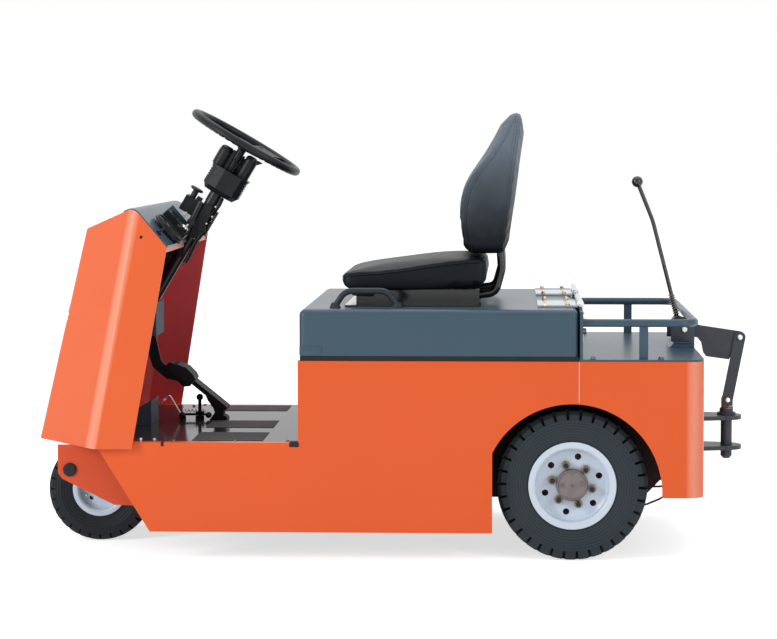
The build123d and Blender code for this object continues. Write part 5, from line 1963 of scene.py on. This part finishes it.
@dataclass
class BatteryTop:
    """Cell caps, posts, bridges and walls on the battery, seen when the hood is up."""

    columns: int = 4
    rows: int = 6
    top: float = 530.0
    pitch_x: float = 112.0
    pitch_y: float = 118.0
    post_out: float = 34.0
    bar_half: float = 9.0
    bar_z: tuple[float, float] = (4.0, 11.0)
    wall_z: tuple[float, float] = (-0.5, 1.6)
    wall_x: float = 225.0
    wall_y: float = 340.0
    wall_half: float = 1.5
    cap: Profile = ((17, 0), (17, 3), (13, 4), (13, 10), (11, 13), (4, 14))
    post: Profile = ((9, 0), (9, 8), (7, 9), (7, 14), (5, 15))

    def wall(self, low_x: float, low_y: float, high_x: float, high_y: float) -> Piece:
        """Make one low wall between two rows of cells."""
        low_z, high_z = (self.top + rise for rise in self.wall_z)
        return block("seam", (low_x, low_y, low_z), (high_x, high_y, high_z), 0.5, 1)

    def build(self, dresser: "Dresser") -> None:
        """Make the cells' tops."""
        caps, bars, posts = [], [], []
        low_z, high_z = (self.top + rise for rise in self.bar_z)
        one, post = turned("cap", self.cap, 16), turned("post", self.post, 14)
        for i in range(self.columns):
            for j in range(self.rows):
                x = (i - (self.columns - 1) / 2) * self.pitch_x
                y = (j - (self.rows - 1) / 2) * self.pitch_y
                caps.append(copied(one, "cap_copy", Matrix.Translation(at(x, y, self.top))))
                for off in (-self.post_out, self.post_out):
                    posts.append(copied(post, "post_copy", Matrix.Translation(at(x, y + off, self.top))))
                if j < self.rows - 1:
                    low = (x - self.bar_half, y + self.post_out, low_z)
                    high = (x + self.bar_half, y + self.pitch_y - self.post_out, high_z)
                    bars.append(block("bar", low, high, 2.0))
        discard(one, post)
        dresser.fit(caps, "cell_caps", "chassis", CELL_CAP)
        dresser.fit(posts, "cell_posts", "chassis", ZINC)
        dresser.fit(bars, "cell_bridges", "chassis", DARK_ZINC)
        half = self.wall_half
        walls = []
        for i in range(1, self.columns):
            x = (i - self.columns / 2) * self.pitch_x
            walls.append(self.wall(x - half, -self.wall_y, x + half, self.wall_y))
        for j in range(1, self.rows):
            y = (j - self.rows / 2) * self.pitch_y
            walls.append(self.wall(-self.wall_x, y - half, self.wall_x, y + half))
        dresser.fit(walls, "cell_walls", "chassis", BATTERY_CASE)


# ---- dressing the CAD nodes --------------------------------------------------------------
@dataclass
class Dresser:
    """Gives each CAD node and each new piece its finish."""

    finishes: dict[str, Finish] = field(default_factory=dict)
    made: dict[str, bpy.types.Material] = field(default_factory=dict)

    def material(self, finish: Finish) -> bpy.types.Material:
        """Return the material of a finish, made once."""
        if finish.name not in self.made:
            self.made[finish.name] = finish.make()
        return self.made[finish.name]

    def seat_piece(self, piece: Piece, body: str, finish: Finish) -> Piece:
        """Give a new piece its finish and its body.

        Args:
            piece: The finished mesh.
            body: The CAD body it moves with.
            finish: Its finish.

        Returns:
            The piece.
        """
        piece.data.materials.clear()
        piece.data.materials.append(self.material(finish))
        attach(piece, body)
        LOG.info("%s: %d faces on %s", piece.name, len(piece.data.polygons), body)
        return piece

    def fit(self, parts: list[Piece], name: str, body: str, finish: Finish) -> None:
        """Join parts into one named piece and seat it."""
        self.seat_piece(joined(parts, name), body, finish)

    def dress(self) -> None:
        """Put the finishes on the nodes."""
        for node, finish in self.finishes.items():
            for holder in frame["nodes"][node].material_slots:
                holder.material = self.material(finish)
            LOG.info("dressed %s in %s", node, finish.name)


def wheel_finishes() -> dict[str, Finish]:
    """Return the finishes of the wheels, which turn about their axles."""
    rear, front = (tuple(AXLE_PLACES[name][::2]) for name in ("rear_wheel_left_spin", "front_wheels_spin"))
    rear_rubber = TyreRubber("rear_tyre_rubber", (0.021, 0.029, 0.035), rear, rear[1])
    front_rubber = TyreRubber("front_tyre_rubber", (0.011, 0.014, 0.017), front, front[1])
    iron = TurnedIron("hub_iron", (0.17, 0.135, 0.125), rear)
    return {
        "rear_tyre_left": rear_rubber, "rear_tyre_right": rear_rubber, "front_tyres": front_rubber,
        "rear_hub_left": iron, "rear_hub_right": iron,
        "rear_rim_left": WHEEL_PAINT, "rear_rim_right": WHEEL_PAINT, "front_rims": WHEEL_PAINT,
    }


def node_finishes() -> dict[str, Finish]:
    """Return the finish of every CAD node."""
    groups = {
        ORANGE: ["side_panel_left", "side_panel_right", "seat_box_front"],
        COWL_LIT_PAINT: ["cowl"],
        REAR_PAINT: ["rear_body"],
        NOSE_SHADED_PAINT: ["nose_plates"],
        GRIP: ["grab_handle"],
        GLOSS_BLACK: ["lever_rod", "seat_frame"],
        COVER_SLATE: ["column_cover", "foot_cover"],
        PEDAL_BLACK: ["brake_pedal", "accelerator_pedal"],
        COLUMN_BLACK: ["steering_column"],
        FRAME_BROWN: ["axle_frame", "chassis_frame", "platform_bearers"],
        LEAF_ZINC: ["hinge_leaves"],
        SLATE: ["hood", "deck_plate", "bulkhead", "rear_rail", "dash_panel", "lever_bracket"],
        FLOOR_PAINT: ["floor_plate"],
        FRAME_BLACK: ["steering_head", "drive_axle", "steering_fork"],
        CHARCOAL: ["hitch_tongue", "hitch_link", "hitch_pin", "lever_arm"],
        BLACK_PLASTIC: ["dash_controls", "switch_housing", "control_box", "steering_wheel"],
        BATTERY_CASE: ["battery"],
        ZINC: ["hinge_plates"],
        RUBBER: ["hood_seal", "nose_plugs"],
        JACKET: ["brake_cables"],
        LENS: ["lamps"],
        VINYL: ["seat_cushion", "seat_backrest"],
    }
    finishes = {node: finish for finish, nodes in groups.items() for node in nodes}
    return finishes | wheel_finishes()


def main() -> None:
    """Build the looks."""
    dresser = Dresser(node_finishes())
    dresser.dress()
    fittings = (Seat(), WheelTrim(), Platform(), Dash(), SteeringTrim(), Lights(), HitchTrim(), BodySeams(),
                SeatMount(), BatteryTop())
    for fitting in (*fittings, *fastener_rows()):
        fitting.build(dresser)
    Studio().build()


if __name__ == "__main__":
    main()
